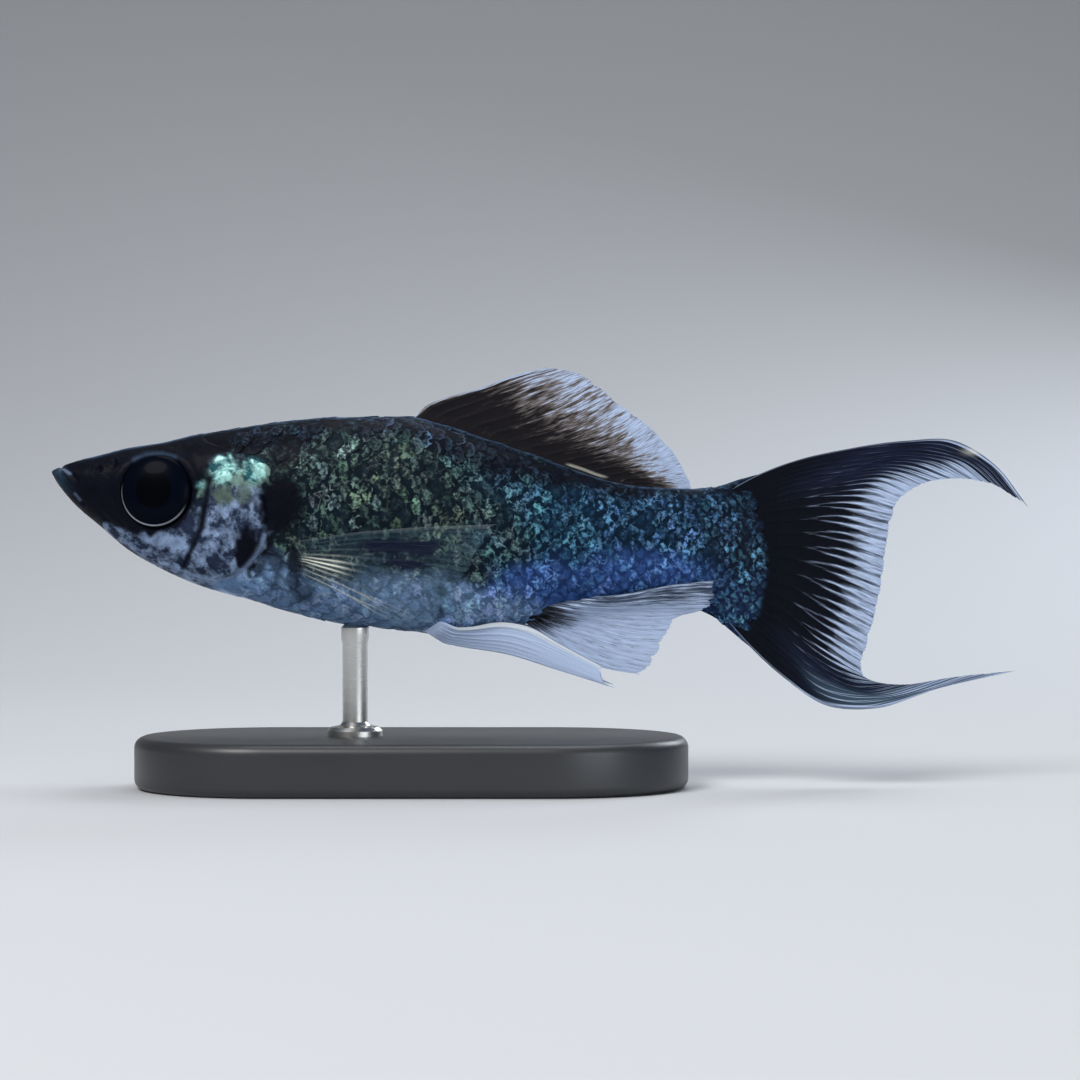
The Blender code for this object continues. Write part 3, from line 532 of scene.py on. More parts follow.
def linear(red, green, blue):
    """A display colour of 0 to 255 as the linear colour that shaders take."""
    shares = [v / 255 for v in (red, green, blue)]
    return tuple(v / 12.92 if v <= 0.04045 else ((v + 0.055) / 1.055) ** 2.4 for v in shares)


def blend(first, second, share):
    first, second = np.asarray(first, float), np.asarray(second, float)
    return first + (second - first) * np.asarray(share)[..., None]


def spots(s, h, places):
    """The most of several soft oval spots, each given as s, h, half length, half height and fullness."""
    rough = 0.22 * grain(s, h, 0.9, 13)
    return np.max([
        full * fall(np.hypot((s - s_at) / length, (h - h_at) / height) + rough, 0.75, 0.5)
        for s_at, h_at, length, height, full in places
    ], axis=0)


def markings(s, h, look):
    """The skin's ground colour and the glitter colour on it, with the glitter's strength."""
    wander, fine = grain(s, h, 5.0, 11), grain(s, h, 1.5, 12)
    back = BACK(np.sqrt(s))
    ground, glitter = look.dark_green, look.green
    strength = 0.74 + 0.26 * fine

    def paint(share, ground_colour, glitter_colour, level=None):
        nonlocal ground, glitter, strength
        share = np.clip(share, 0, 1)
        ground, glitter = blend(ground, ground_colour, share), blend(glitter, glitter_colour, share)
        if level is not None:
            strength = strength + (level - strength) * share

    # flanks: green in front, yellow green in their middle, teal behind and blue low down towards the tail
    paint(spots(s, h, YELLOW_PATCHES) * (0.6 + 0.5 * fine), look.dark_green, look.yellow)
    paint(rise(s + 2.2 * wander, 34.5, 10.0), look.dark_teal, look.teal)
    paint(0.7 * rise(s + 1.5 * wander, 44.5, 7.0), look.dark_teal, look.blue)
    blue = rise((np.interp(s, *BLUE_LINE) - h + 0.8 * wander + 0.9) / 2.4) * rise(s, 29, 8.0)
    paint(blue, look.dark_blue, look.blue)
    paint(0.75 * rise(s + 1.2 * wander, 55.0, 4.0), look.navy, look.teal, 0.44 + 0.30 * fine)
    # back: dark, deepest under the front of the back fin
    top = rise((h - back + np.interp(s, *BACK_DEPTH) + 0.5 + 0.6 * wander) / 1.7)
    paint(0.96 * top, look.mask, look.rim, 0.15 + 0.15 * fine + 0.14 * fall(s, 25, 9))
    # belly and throat: pale lilac grey
    low = rise((np.interp(s, *BELLY_LINE) - h + 0.6 * wander + 0.9) / 2.2) * fall(s, 41, 5.0)
    paint(low, look.belly_shade, look.belly, 0.92 + 0.25 * fine + 0.2 * rise(s, 29, 5))
    # head: dark mask over the snout, the brow and round the eye, silvery cheek behind and below it
    cheek = rise((3.6 - h + 0.7 * fine) / 1.6) * fall(s, 13.2, 1.6)
    paint(cheek, look.cheek_shade, look.cheek, 0.78 + 0.30 * fine)
    brow_end = 13.4 + 0.9 * np.clip(h - 6.5, 0, 3)
    mask = rise((h - np.interp(s, *MASK_LINE) + 0.30 * fine + 0.25) / 0.5)
    mask = mask * fall(s + 0.3 * wander, brow_end, 1.2)
    paint(mask, look.mask, look.navy, 0.30 + 0.15 * fine)
    # gill cover: silver violet, beige above it, two bright blue-green patches on top and a dark hind part
    cover = np.where(gill_depth(s, h) > 0, 1.0, 0.0) * rise(4.9 - h)
    paint(cover, look.cheek_shade, look.cheek, 0.80 + 0.40 * fine)
    paint(spots(s, h, SHADOWS), look.mask, look.navy, 0.15)
    paint(spots(s, h, BEIGE_PATCHES), look.cheek_shade, look.beige, 0.7)
    paint(spots(s, h, BRIGHT_PATCHES), look.patch_shade, look.patch, 1.08)
    # painted shade: a dark line along the preopercle's groove, where the crease lies in shade
    groove_shade = hump(line_distance(s, h, PREOPERCLE), 0.20 + 0.16 * rise(h, -1.0, 3.0))
    paint(0.95 * groove_shade, look.mask, look.navy, 0.1)
    for full, width, colour, level, line in FINE_LINES:
        colour = getattr(look, colour)
        paint(full * hump(line_distance(s, h, line), width), colour, colour, level)
    # the lower jaw's tip, the belly's dark spots, a painted highlight along the back's edge and the plain
    # tail root
    jaw = hump(mouth_distance(s, h) + 0.5, 0.7) * rise(h, 3.6, 0.8) * fall(s, 2.2)
    paint(0.5 * jaw, look.jaw, look.rim, 0.5)
    paint(spots(s, h, BELLY_SPOTS), look.navy, look.navy, 0.1)
    # painted highlight: a thin pale line along the back's edge, for the light caught on the back's rim
    paint(0.8 * hump(back - h, 0.16) * rise(s, 2, 2), look.rim, look.rim, 0.9)
    bow = 0.9 * (1 - ((h + 1.4) / 5.4) ** 2)
    paint(rise(s - bow, 60.8, 0.9), look.tail_root, look.tail_root, 0.0)
    return np.clip(ground, 0, 1), np.clip(glitter, 0, 1), np.clip(strength, 0, 1.4)


# Meshes


def set_uvs(mesh, name, places):
    """A new UV map with a place for each corner of the mesh's faces."""
    mesh.uv_layers.new(name=name).data.foreach_set("uv", places.astype(np.float32).ravel())


def add_piece(name, vertices, faces, material, uvs=None, colours=None, smooth_up_to=180):
    """A mesh piece from arrays, with UV maps and colours by name, each with a row for every vertex."""
    mesh = bpy.data.meshes.new(name)
    mesh.from_pydata(vertices, [], faces)
    mesh.validate()
    for map_name, values in (uvs or {}).items():
        set_uvs(mesh, map_name, values[faces.ravel()])
    for colour_name, values in (colours or {}).items():
        layer = mesh.color_attributes.new(colour_name, "FLOAT_COLOR", "POINT")
        layer.data.foreach_set("color", values.astype(np.float32).ravel())
    mesh.materials.append(material)
    mesh.shade_smooth()
    if smooth_up_to < 180:
        mesh.set_sharp_from_angle(angle=math.radians(smooth_up_to))
    piece = bpy.data.objects.new(name, mesh)
    bpy.context.scene.collection.objects.link(piece)
    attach(piece, "root")
    return piece


def grid_faces(columns, rows, wrap=False):
    """Quads of a grid of vertices numbered column by column, closed round its rows if it wraps."""
    i, j = np.meshgrid(np.arange(columns - 1), np.arange(rows if wrap else rows - 1), indexing="ij")
    here, after = i * rows, (i + 1) * rows
    k = (j + 1) % rows
    return np.stack([here + j, after + j, after + k, here + k], axis=-1).reshape(-1, 4)


def with_alpha(colour, alpha):
    """Rows of four from a grid of colours and their alpha."""
    return np.concatenate([colour, np.asarray(alpha)[..., None]], axis=-1).reshape(-1, 4)


def face_outwards(piece):
    bm = bmesh.new()
    bm.from_mesh(piece.data)
    bmesh.ops.recalc_face_normals(bm, faces=bm.faces)
    bm.to_mesh(piece.data)
    bm.free()


# Shader nodes


class Value:
    """One output of a node; plain arithmetic on it places maths nodes."""

    def __init__(self, nodes, socket):
        self.nodes, self.socket = nodes, socket

    def __add__(self, other):
        return self.nodes.maths("ADD", self, other)

    def __sub__(self, other):
        return self.nodes.maths("SUBTRACT", self, other)

    def __rsub__(self, other):
        return self.nodes.maths("SUBTRACT", other, self)

    def __mul__(self, other):
        return self.nodes.maths("MULTIPLY", self, other)

    __radd__, __rmul__ = __add__, __mul__


class Nodes:
    """Short calls to place and join the nodes of one material or node group."""

    def __init__(self, tree):
        self.tree = tree

    def join(self, value, socket):
        if isinstance(value, Value):
            self.tree.links.new(value.socket, socket)
        elif socket.type == "RGBA" and len(value) == 3:
            socket.default_value = (*value, 1.0)
        else:
            socket.default_value = value

    def drive(self, sockets, **values):
        """Joins values to sockets, whose names have _ for each space."""
        for key, value in values.items():
            self.join(value, sockets[key.replace("_", " ")])

    def outs(self, kind, inputs=None, **settings):
        """The outputs of a new node with these inputs and settings."""
        node = self.tree.nodes.new(kind)
        for key, value in settings.items():
            setattr(node, key, value)
        for key, value in (inputs or {}).items():
            self.join(value, node.inputs[key])
        return [Value(self, socket) for socket in node.outputs]

    def maths(self, operation, *values, clamp=False):
        return self.outs("ShaderNodeMath", dict(enumerate(values)), operation=operation, use_clamp=clamp)[0]

    def larger(self, first, second):
        return self.maths("MAXIMUM", first, second)

    def noise(self, vector, size, detail=3.0, roughness=0.55):
        inputs = {"Vector": vector, "Scale": size, "Detail": detail, "Roughness": roughness}
        return self.outs("ShaderNodeTexNoise", inputs)[0]

    def ramp(self, value, low, high):
        """0 to 1 as value goes from low to high, with soft ends."""
        inputs = {"Value": value, "From Min": low, "From Max": high}
        return self.outs("ShaderNodeMapRange", inputs, interpolation_type="SMOOTHSTEP")[0]

    def mix(self, share, first, second, blend_type="MIX"):
        inputs = {0: share, 6: first, 7: second}
        return self.outs("ShaderNodeMix", inputs, data_type="RGBA", blend_type=blend_type)[2]

    def bump(self, height, strength, distance):
        inputs = {"Height": height, "Strength": strength, "Distance": distance}
        return self.outs("ShaderNodeBump", inputs)[0]

    def object_place(self):
        return Value(self, self.tree.nodes.new("ShaderNodeTexCoord").outputs["Object"])

    def painted(self, name):
        """Colour and alpha of one of the mesh's colour attributes."""
        return self.outs("ShaderNodeVertexColor", layer_name=name)

    def channels(self, colour):
        return self.outs("ShaderNodeSeparateColor", {"Color": colour})[:3]

    def stretched(self, vector, *scale):
        return self.outs("ShaderNodeMapping", {"Vector": vector, "Scale": scale})[0]


def new_material(name, **values):
    """A material with values on its Principled shader; returns it, its nodes and that shader's sockets."""
    material = bpy.data.materials.new(name)
    material.use_nodes = True
    n = Nodes(material.node_tree)
    shader = material.node_tree.nodes["Principled BSDF"].inputs
    n.drive(shader, **values)
    return material, n, shader


def effect_group(name, inputs, outputs, fill):
    """A shared node group with named sockets, filled by a function on its first use."""
    if name not in bpy.data.node_groups:
        group = bpy.data.node_groups.new(name, "ShaderNodeTree")
        for way, sockets in (("INPUT", inputs), ("OUTPUT", outputs)):
            for key, kind in sockets.items():
                group.interface.new_socket(key, in_out=way, socket_type="NodeSocket" + kind)
        n = Nodes(group)
        given = dict(zip(inputs, n.outs("NodeGroupInput")))
        fill(n, given, group.nodes.new("NodeGroupOutput").inputs)
    return bpy.data.node_groups[name]


def fill_skin_grain(n, given, result):
    """Fine pigment dots and skin wrinkles."""
    lumps = n.noise(given["Vector"], 900.0, 2.0)
    dots = n.outs("ShaderNodeTexVoronoi", {"Vector": given["Vector"], "Scale": 3800.0})[0]
    shade = ((lumps - 0.5) * given["Amount"] + 0.9) * (n.ramp(dots, 0.15, 0.55) * 0.25 + 0.80)
    grey = n.outs("ShaderNodeCombineColor", {0: shade, 1: shade, 2: shade})[0]
    n.drive(result, Color=n.mix(1.0, given["Color"], grey, "MULTIPLY"), Height=lumps + dots * 0.3)


def skin_grain():
    """The group of pigment and wrinkles, which the skin and the scales share."""
    inputs = {"Vector": "Vector", "Color": "Color", "Amount": "Float"}
    return effect_group("Skin grain", inputs, {"Color": "Color", "Height": "Float"}, fill_skin_grain)


def skin_surface(n, shader, place, ground, glitter, share, amount, gloss):
    """Joins glitter over its ground to a shader, with pigment on both; returns the wrinkles' height."""
    inputs = {"Vector": place, "Color": n.mix(share, ground, glitter), "Amount": amount}
    colour, height = n.outs("ShaderNodeGroup", inputs, node_tree=skin_grain())
    n.drive(shader, Base_Color=colour, Metallic=share * 0.25, Roughness=0.52 - share * gloss)
    return height


def make_skin_material():
    material, n, shader = new_material("Molly skin", **WET_SKIN)
    place = n.object_place()
    ground, _ = n.painted("ground")
    glitter, strength = n.painted("glitter")
    share = n.maths("MULTIPLY", n.ramp(n.noise(place, 620.0, 3.0, 0.68), 0.40, 0.60), strength, clamp=True)
    height = skin_surface(n, shader, place, ground, glitter, share, 0.8, 0.16)
    n.drive(shader, Normal=n.bump(height, 0.35, 0.00006))
    return material


def make_scale_material():
    """Each scale has a dark root, a rim darkened with painted shade, and a broken, curved bright fleck on
    its free part.
    """
    material, n, shader = new_material("Molly scales", **WET_SKIN)
    place = n.object_place()
    along, across, random = n.channels(n.painted("scale")[0])
    ground, outline = n.painted("ground")
    glitter, strength = n.painted("glitter")
    x, y = along - 0.44, across - 0.5
    reach = n.maths("SQRT", x * x + y * y)
    out = reach + (n.noise(place, 1250.0, 2.0, 0.55) * 0.60 - 0.30)
    band = n.ramp(out, 0.14, 0.26) * (1.0 - n.ramp(out, 0.34, 0.44))
    patchy = n.ramp(n.noise(place, 3000.0, 2.0, 0.6), 0.42, 0.62)
    thread = 1.0 - n.ramp(n.maths("ABSOLUTE", n.noise(place, 950.0, 2.0, 0.5) - 0.5), 0.008, 0.055)
    clump = n.ramp(n.noise(place, 260.0, 2.0, 0.5), 0.30, 0.62)
    share = n.larger(band * (patchy * 0.75 + 0.08), thread * (patchy * 0.5 + 0.12))
    share = share * n.ramp(along, 0.32, 0.58) * random * (clump * 0.7 + 0.45)
    share = n.maths("MULTIPLY", share, strength * 1.7, clamp=True)
    ring = n.ramp(out, 0.36, 0.41) * (1.0 - n.ramp(out, 0.44, 0.50))
    share = n.larger(share, ring * outline * n.ramp(along, 0.4, 0.6))
    # painted shade: the rim darkens towards near black, for the shade in the gaps between overlapping
    # scales
    shaded = n.mix(n.ramp(out, 0.34, 0.48) * 0.42, ground, (0.003, 0.005, 0.009))
    height = skin_surface(n, shader, place, shaded, glitter, share, 0.35, 0.18)
    growth_rings = n.maths("SINE", reach * 120.0)
    n.drive(shader, Normal=n.bump(height * 0.5 + growth_rings, 0.12, 0.00003))
    return material


def fill_fin_rays(n, given, result):
    """A fin's stain, streaks and rays."""
    rays, streak, soft = given["Rays"], given["Streak"], given["Soft"]
    amount, ridge, bright = n.channels(given["Stain"])
    streaks = n.noise(n.stretched(rays, 2.2, 3.0, 1.0), 1.6, 4.0, 0.6)
    fine = n.noise(n.stretched(rays, 11.0, 7.0, 1.0), 1.0, 4.0, 0.65)
    shade = (streaks - 0.5) * streak + amount + (fine - 0.5) * streak * 0.9
    shade = shade + (0.4 - ridge) * given["Ray Shade"]
    light = n.mix(n.ramp(fine, 0.36, 0.66), given["Light"], given["Stripe"])
    light = n.mix(n.ramp(shade, 0.16, 0.48), light, given["Middle"])
    colour = n.mix(n.ramp(shade, 0.38 - soft, 0.70 + soft), light, given["Dark"])
    film = n.larger(ridge * given["Ray Film"] + given["Film"], n.ramp(shade, 0.30, 0.70) * 0.97)
    joints = n.maths("SINE", n.outs("ShaderNodeSeparateXYZ", {"Vector": rays})[1] * 260.0) * ridge
    n.drive(
        result,
        Color=n.mix(bright, colour, (0.84, 0.83, 0.72)),
        Alpha=n.maths("MAXIMUM", film, bright * 0.9, clamp=True),
        Height=joints * 0.3 + fine,
    )


def fin_rays():
    """The group of stain, streaks and rays, which all the fins share."""
    inputs = {"Rays": "Vector"}
    inputs.update(dict.fromkeys(("Stain", "Dark", "Light", "Stripe", "Middle"), "Color"))
    inputs.update(dict.fromkeys(("Streak", "Ray Shade", "Film", "Ray Film", "Soft"), "Float"))
    outputs = {"Color": "Color", "Alpha": "Float", "Height": "Float"}
    return effect_group("Fin rays", inputs, outputs, fill_fin_rays)


def make_fin_material(
    fins, name, streak, film, ray_shade, middle="beige", ray_film=0.45, stripe=0.55, light="pale", soft=0.0
):
    """A fin's film and rays, from its stain and from its map, across in rays and along in shares."""
    material, n, shader = new_material(
        name, Roughness=0.5, Coat_Weight=0.014, Coat_Roughness=0.3, Specular_IOR_Level=0.05
    )
    light = tuple(getattr(fins, light))
    inputs = {
        "Rays": n.outs("ShaderNodeUVMap", uv_map="Rays")[0],
        "Stain": n.painted("stain")[0],
        "Dark": n.painted("tint")[0],
        "Light": light,
        "Stripe": tuple(stripe * v for v in light),
        "Middle": tuple(getattr(fins, middle)),
        "Streak": streak,
        "Ray Shade": ray_shade,
        "Film": film,
        "Ray Film": (1 - film) * ray_film,
        "Soft": soft,
    }
    colour, alpha, height = n.outs("ShaderNodeGroup", inputs, node_tree=fin_rays())
    n.drive(shader, Base_Color=colour, Alpha=alpha, Normal=n.bump(height, 0.35, 0.00006))
    return material


# Settings


def size_setting(name, text, value, low=0.0):
    return bpy.props.FloatProperty(
        name=name, description=text, default=value, min=low, unit="LENGTH", precision=5
    )


def colour_setting(name, text, value):
    return bpy.props.FloatVectorProperty(
        name=name, description=text, default=linear(*value), min=0.0, max=1.0, size=3, subtype="COLOR"
    )


class MollyBodySettings(bpy.types.PropertyGroup):
    inset: size_setting("Scale bed", "How far the skin lies in under the scales", 0.12 * MM)
    row_size: size_setting("Scale size", "Height of one row of scales at mid body", 1.80 * MM, 0.5 * MM)
    scale_rise: size_setting("Scale rise", "Rise from a scale's root to its free edge", 0.19 * MM)
    scale_wall: size_setting("Scale thickness", "Thickness of a scale", 0.045 * MM)


class MollyMarkingSettings(bpy.types.PropertyGroup):
    dark_green: colour_setting("Dark green", "Ground of the front flank", (16, 29, 39))
    green: colour_setting("Green", "Glitter of the front flank", (124, 154, 146))
    yellow: colour_setting("Yellow green", "Glitter of the middle of the flank", (142, 156, 108))
    dark_teal: colour_setting("Dark teal", "Ground of the rear flank", (13, 37, 58))
    teal: colour_setting("Teal", "Glitter of the rear flank", (96, 156, 186))
    dark_blue: colour_setting("Dark blue", "Ground of the lower rear flank", (42, 70, 126))
    blue: colour_setting("Blue", "Glitter of the lower rear flank", (112, 160, 226))
    navy: colour_setting("Navy", "Back and tail root", (15, 20, 36))
    mask: colour_setting("Mask", "Snout, brow and shoulder", (10, 12, 22))
    rim: colour_setting("Back rim", "Glitter along the back", (82, 108, 140))
    belly: colour_setting("Belly", "Glitter of the belly and throat", (166, 194, 230))
    belly_shade: colour_setting("Belly shade", "Ground of the belly and throat", (108, 140, 181))
    cheek: colour_setting("Cheek", "Glitter of the cheek and gill cover", (142, 164, 198))
    cheek_shade: colour_setting("Cheek shade", "Ground of the cheek and gill cover", (38, 48, 70))
    beige: colour_setting("Beige", "Glitter on top of the gill cover", (98, 116, 102))
    patch: colour_setting("Patch", "Bright patches on top of the gill cover", (162, 216, 212))
    patch_shade: colour_setting("Patch shade", "Ground of the bright patches", (38, 88, 98))
    jaw: colour_setting("Jaw", "Tip of the lower jaw", (40, 62, 76))
    tail_root: colour_setting("Tail root", "Plain skin behind the last scales", (9, 12, 22))


class MollyFinSettings(bpy.types.PropertyGroup):
    pale: colour_setting("Fin", "Free edges of the fins", (185, 203, 235))
    dark: colour_setting("Fin stain", "Dark bases of the back and anal fins", (25, 23, 27))
    tail_dark: colour_setting("Tail stain", "Dark base of the tail fin", (9, 12, 22))
    beige: colour_setting("Fin middle", "Where a fin's stain thins out", (124, 116, 114))
    grey: colour_setting("Anal fin middle", "Where the anal fin's stain thins out", (96, 108, 128))
    web: colour_setting("Breast fin", "Film of the breast fins", (84, 112, 130))
    slate: colour_setting("Fin slate", "Bluish stain of the tail's lobes and the breast fins", (27, 36, 60))
    membrane: size_setting("Membrane", "Thickness of the membrane between rays", 0.11 * MM)
    ray: size_setting("Ray", "Thickness of a ray near its root", 0.34 * MM)


class MollyStandSettings(bpy.types.PropertyGroup):
    rod_radius: size_setting("Rod radius", "Radius of the rod", 1.1 * MM, 0.2 * MM)
    base_colour: colour_setting("Base", "Colour of the base", (44, 46, 50))
    edge: size_setting("Base edge", "Rounding of the base's edges", 0.9 * MM)


class MollyStudioSettings(bpy.types.PropertyGroup):
    lens: bpy.props.FloatProperty(
        name="Lens", description="Focal length", default=100.0, min=10.0, unit="CAMERA"
    )
    distance: size_setting("Camera distance", "From the camera to the middle of the fish", 0.261)
    floor_colour: colour_setting("Floor", "Colour of the floor and the backdrop", (196, 199, 204))
    light: bpy.props.FloatProperty(
        name="Light", description="Strength of the lights", default=1.0, min=0.0, max=3.0, subtype="FACTOR"
    )


# Pieces


class MOLLY_OT_skin(bpy.types.Operator):
    """One skin over head, jaw, gill covers, trunk and tail stalk"""

    bl_idname = "molly.skin"
    bl_label = "Skin"

    def execute(self, context):
        stations = np.linspace(0.012, 1.0, SKIN_COLUMNS) ** 1.35 * SKIN_END
        turn = np.linspace(0, 2 * math.pi, SKIN_ROWS, endpoint=False)
        s, turn = np.meshgrid(stations, turn, indexing="ij")
        points = ring_points(s, turn)
        h = points[:, :, 2]
        wrapped = np.concatenate([points[:, -1:], points, points[:, :1]], axis=1)
        normals = outwards(grid_normals(wrapped)[:, 1:-1], points)
        lift = relief(s, h, context.scene.molly_body.inset / MM)
        lift *= np.clip(s / 0.4, 0.3, 1) * (0.3 + 0.7 * fall(s, SKIN_END - 2.5, 2.5))
        skin = points + normals * lift[:, :, None]
        poles = [[0.0, 0.0, PROFILE[0][1]], skin[-1].mean(axis=0)]
        quads = grid_faces(SKIN_COLUMNS, SKIN_ROWS, wrap=True)
        first = np.arange(SKIN_ROWS)
        last = first + (SKIN_COLUMNS - 1) * SKIN_ROWS
        pole = np.full(SKIN_ROWS, SKIN_COLUMNS * SKIN_ROWS)
        triangles = np.concatenate([
            quads[:, [0, 1, 2]],
            quads[:, [0, 2, 3]],
            np.stack([first, np.roll(first, -1), pole], axis=1),
            np.stack([np.roll(last, -1), last, pole + 1], axis=1),
        ])
        ground, glitter, strength = markings(s, h, context.scene.molly_markings)
        colours = {
            "ground": np.concatenate([with_alpha(ground, np.ones_like(s)), [POLE_GROUND] * 2]),
            "glitter": np.concatenate([with_alpha(glitter, strength), [POLE_GLITTER] * 2]),
        }
        vertices = in_room(np.concatenate([skin.reshape(-1, 3), poles]))
        piece = add_piece("skin", vertices, triangles, make_skin_material(), colours=colours)
        face_outwards(piece)
        unwrap_skin(piece.data, skin)
        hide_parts("head", "lower_jaw", "gill_cover_left", "gill_cover_right", "torso", "tail_stalk")
        return {"FINISHED"}


def bake_place(s, arc, side):
    """Where a place on the skin lies on its unwrap, which is cut along the belly."""
    _, up = BODY.arcs(s)
    return np.stack([BAKE_MARGIN + s / BAKE_SPAN, 0.5 + side * (up - arc) / BAKE_SPAN], axis=-1)


def unwrap_skin(mesh, skin):
    """Lays the skin's rings out flat, side by side, with true lengths along and round the body."""
    columns, rows, _ = skin.shape
    back, belly, pole = rows // 2, 3 * rows // 4, columns * rows
    round_at = lengths_along(skin[:, (belly + np.arange(rows + 1)) % rows], axis=1)
    round_at -= round_at[:, back, None]
    loops = np.empty(len(mesh.loops), np.int32)
    mesh.loops.foreach_get("vertex_index", loops)
    faces = loops.reshape(-1, 3)
    tip = (faces > pole).astype(int) - (faces == pole)
    column = np.where(tip == 0, faces // rows, np.where(tip > 0, columns - 1, 0))
    turn = np.where(tip == 0, (faces % rows - belly) % rows, back)
    turn[(turn == 0) & (turn.max(axis=1) > back)[:, None]] = rows
    u = BAKE_MARGIN + skin[:, :, 0].mean(axis=1)[column] / BAKE_SPAN + 0.004 * tip
    v = 0.5 + round_at[column, turn] / BAKE_SPAN
    set_uvs(mesh, "OFBake", np.stack([u, v], axis=-1))


def scale_template(count=12):
    """One scale as a closed plate: points in shares of its size, heights in half walls, and triangles."""
    turn = np.arange(count) / count * 2 * math.pi
    edge = np.stack([np.cos(turn), np.sin(turn)], axis=1)
    edge[:, 0] *= np.where(edge[:, 0] < 0, 1 + 0.12 * np.abs(edge[:, 1]), 1)
    points = np.concatenate([edge, edge * 0.62, [[0.0, 0.0]], edge])
    heights = np.repeat([0.5, 1.0, 1.15, -0.6], [count, count, 1, count])
    ring = np.arange(count)
    after = np.roll(ring, -1)
    inner, hub, below = count, np.full(count, 2 * count), 2 * count + 1
    fan = ring[1:-1]
    corners = (
        (ring, after, inner + after),
        (ring, inner + after, inner + ring),
        (inner + ring, inner + after, hub),
        (ring, below + ring, below + after),
        (ring, below + after, after),
        (hub[1:-1] + 1, below + fan + 1, below + fan),
    )
    return points, heights, np.concatenate([np.stack(three, axis=1) for three in corners])


def scale_places(row_size):
    """Centres (s, arc) of the scales of one flank, with each one's height and length."""
    size_at = smooth(SCALE_SIZES)
    places = []
    s, column = SCALES_FROM, 0
    while s < SCALES_TO:
        height = float(size_at(s)) * row_size
        length = height * 0.98
        down, up = (float(v) for v in BODY.arcs(s))
        for row in range(int(-down / height) - 1, int(up / height) + 2):
            arc = (row + 0.5 * (column % 2)) * height
            if -down - 0.1 * height <= arc <= up + 0.1 * height:
                places.append((s, arc, height, length))
        s += length / 2
        column += 1
    return np.array(places)


class MOLLY_OT_scales(bpy.types.Operator):
    """Overlapping scales on both flanks, each a thin closed plate with its free edge to the rear"""

    bl_idname = "molly.scales"
    bl_label = "Scales"

    def execute(self, context):
        material = make_scale_material()
        for word, side, seed in (("left", -1, 21), ("right", 1, 22)):
            self.coat(context, "scales_" + word, side, np.random.default_rng(seed), material)
        return {"FINISHED"}

    def coat(self, context, name, side, rng, material):
        body = context.scene.molly_body
        template, heights, faces = scale_template()
        places = scale_places(body.row_size / MM)
        spot = BODY.at(places[:, 0], places[:, 1])
        s, h = spot[:, 0], spot[:, 2]
        rear = SCALES_TO + 0.3 - 1.2 * ((h + 1.4) / 5.1) ** 2
        places = places[(s > scaled_from(h) + 0.2) & (s + 0.5 < rear)]
        count = len(places)
        s0, arc0 = (places[:, i] + rng.normal(0, SCATTER, count) for i in (0, 1))
        half_length = places[:, 3:] * 0.80 * rng.uniform(0.95, 1.05, (count, 1))
        half_height = places[:, 2:3] * 0.60 * rng.uniform(0.96, 1.04, (count, 1))
        turn = rng.normal(0, 0.06, (count, 1))
        roll, pitch = rng.normal(0, TILT, (2, count, 1))
        x, y = template[:, 0] * half_length, template[:, 1] * half_height
        along = np.minimum(s0[:, None] + x * np.cos(turn) - y * np.sin(turn), SKIN_END)
        across = arc0[:, None] + x * np.sin(turn) + y * np.cos(turn)
        flat_down = 1 - 0.8 * rise(np.abs(BODY.share_at(s0, arc0)), 0.70, 0.22)[:, None]
        lift = flat_down * (body.scale_rise / MM) * (template[:, 0] + 1) / 2
        lift += flat_down * 0.035 * (1 - template[:, 0] ** 2 * 0.5 - template[:, 1] ** 2)
        lift += heights * (body.scale_wall / MM) / 2 - body.inset / MM - SUNK + roll * y + pitch * x
        points = BODY.at(along, across, lift) * [1, side, 1]
        under, root = BODY.at(along, across), BODY.at(s0, arc0)
        ground, glitter, strength = markings(under[..., 0], under[..., 2], context.scene.molly_markings)
        bright = np.clip(rng.normal(0.62, 0.28, (count, 1)), 0.08, 1.25) + 0.5 * rise(strength, 1.0, 0.2)
        own = np.broadcast_arrays(
            template[:, 0] / 2 + 0.5, template[:, 1] / 2 + 0.5, bright, rng.uniform(0, 1, (count, 1))
        )
        tint = rng.normal(1.0, 0.10, (count, 1, 1)) * rng.normal(1.0, 0.07, (count, 1, 3))
        on_back = rise(root[:, 2] - BACK(np.sqrt(root[:, 0])), -3.4, 1.4)
        outline = 0.9 * on_back * hump(root[:, 0] - 31.5, 4.5) * rng.uniform(0.2, 1, count)
        colours = {
            "scale": np.stack(own, axis=-1).reshape(-1, 4),
            "ground": with_alpha(ground, np.broadcast_to(outline[:, None], strength.shape)),
            "glitter": with_alpha(np.clip(glitter * tint, 0, 1), strength),
        }
        down, up = BODY.arcs(s0)
        patch = bake_place(s0, np.clip(arc0, -down, up), side)[:, None, :] + template / 2 * BAKE_PATCH
        faces = faces[:, ::side] + np.arange(count)[:, None, None] * len(template)
        piece = add_piece(
            name, in_room(points.reshape(-1, 3)), faces.reshape(-1, 3), material,
            uvs={"OFBake": patch.reshape(-1, 2)}, colours=colours, smooth_up_to=50,
        )


# Fins


def fin_places(guides, columns, shares):
    """A grid of (s, h) over a fin for the shares across it and a grid of shares along each column."""
    rays = np.stack([through(guide)(shares) for guide in guides])
    slopes = np.gradient(rays, axis=0)
    place = columns * (len(guides) - 1)
    i = np.clip(place.astype(int), 0, len(guides) - 2)
    t = (place - i)[:, None, None]
    column = np.arange(len(columns))
    return cubic(t, rays[i, column], rays[i + 1, column], slopes[i, column], slopes[i + 1, column], 1.0)


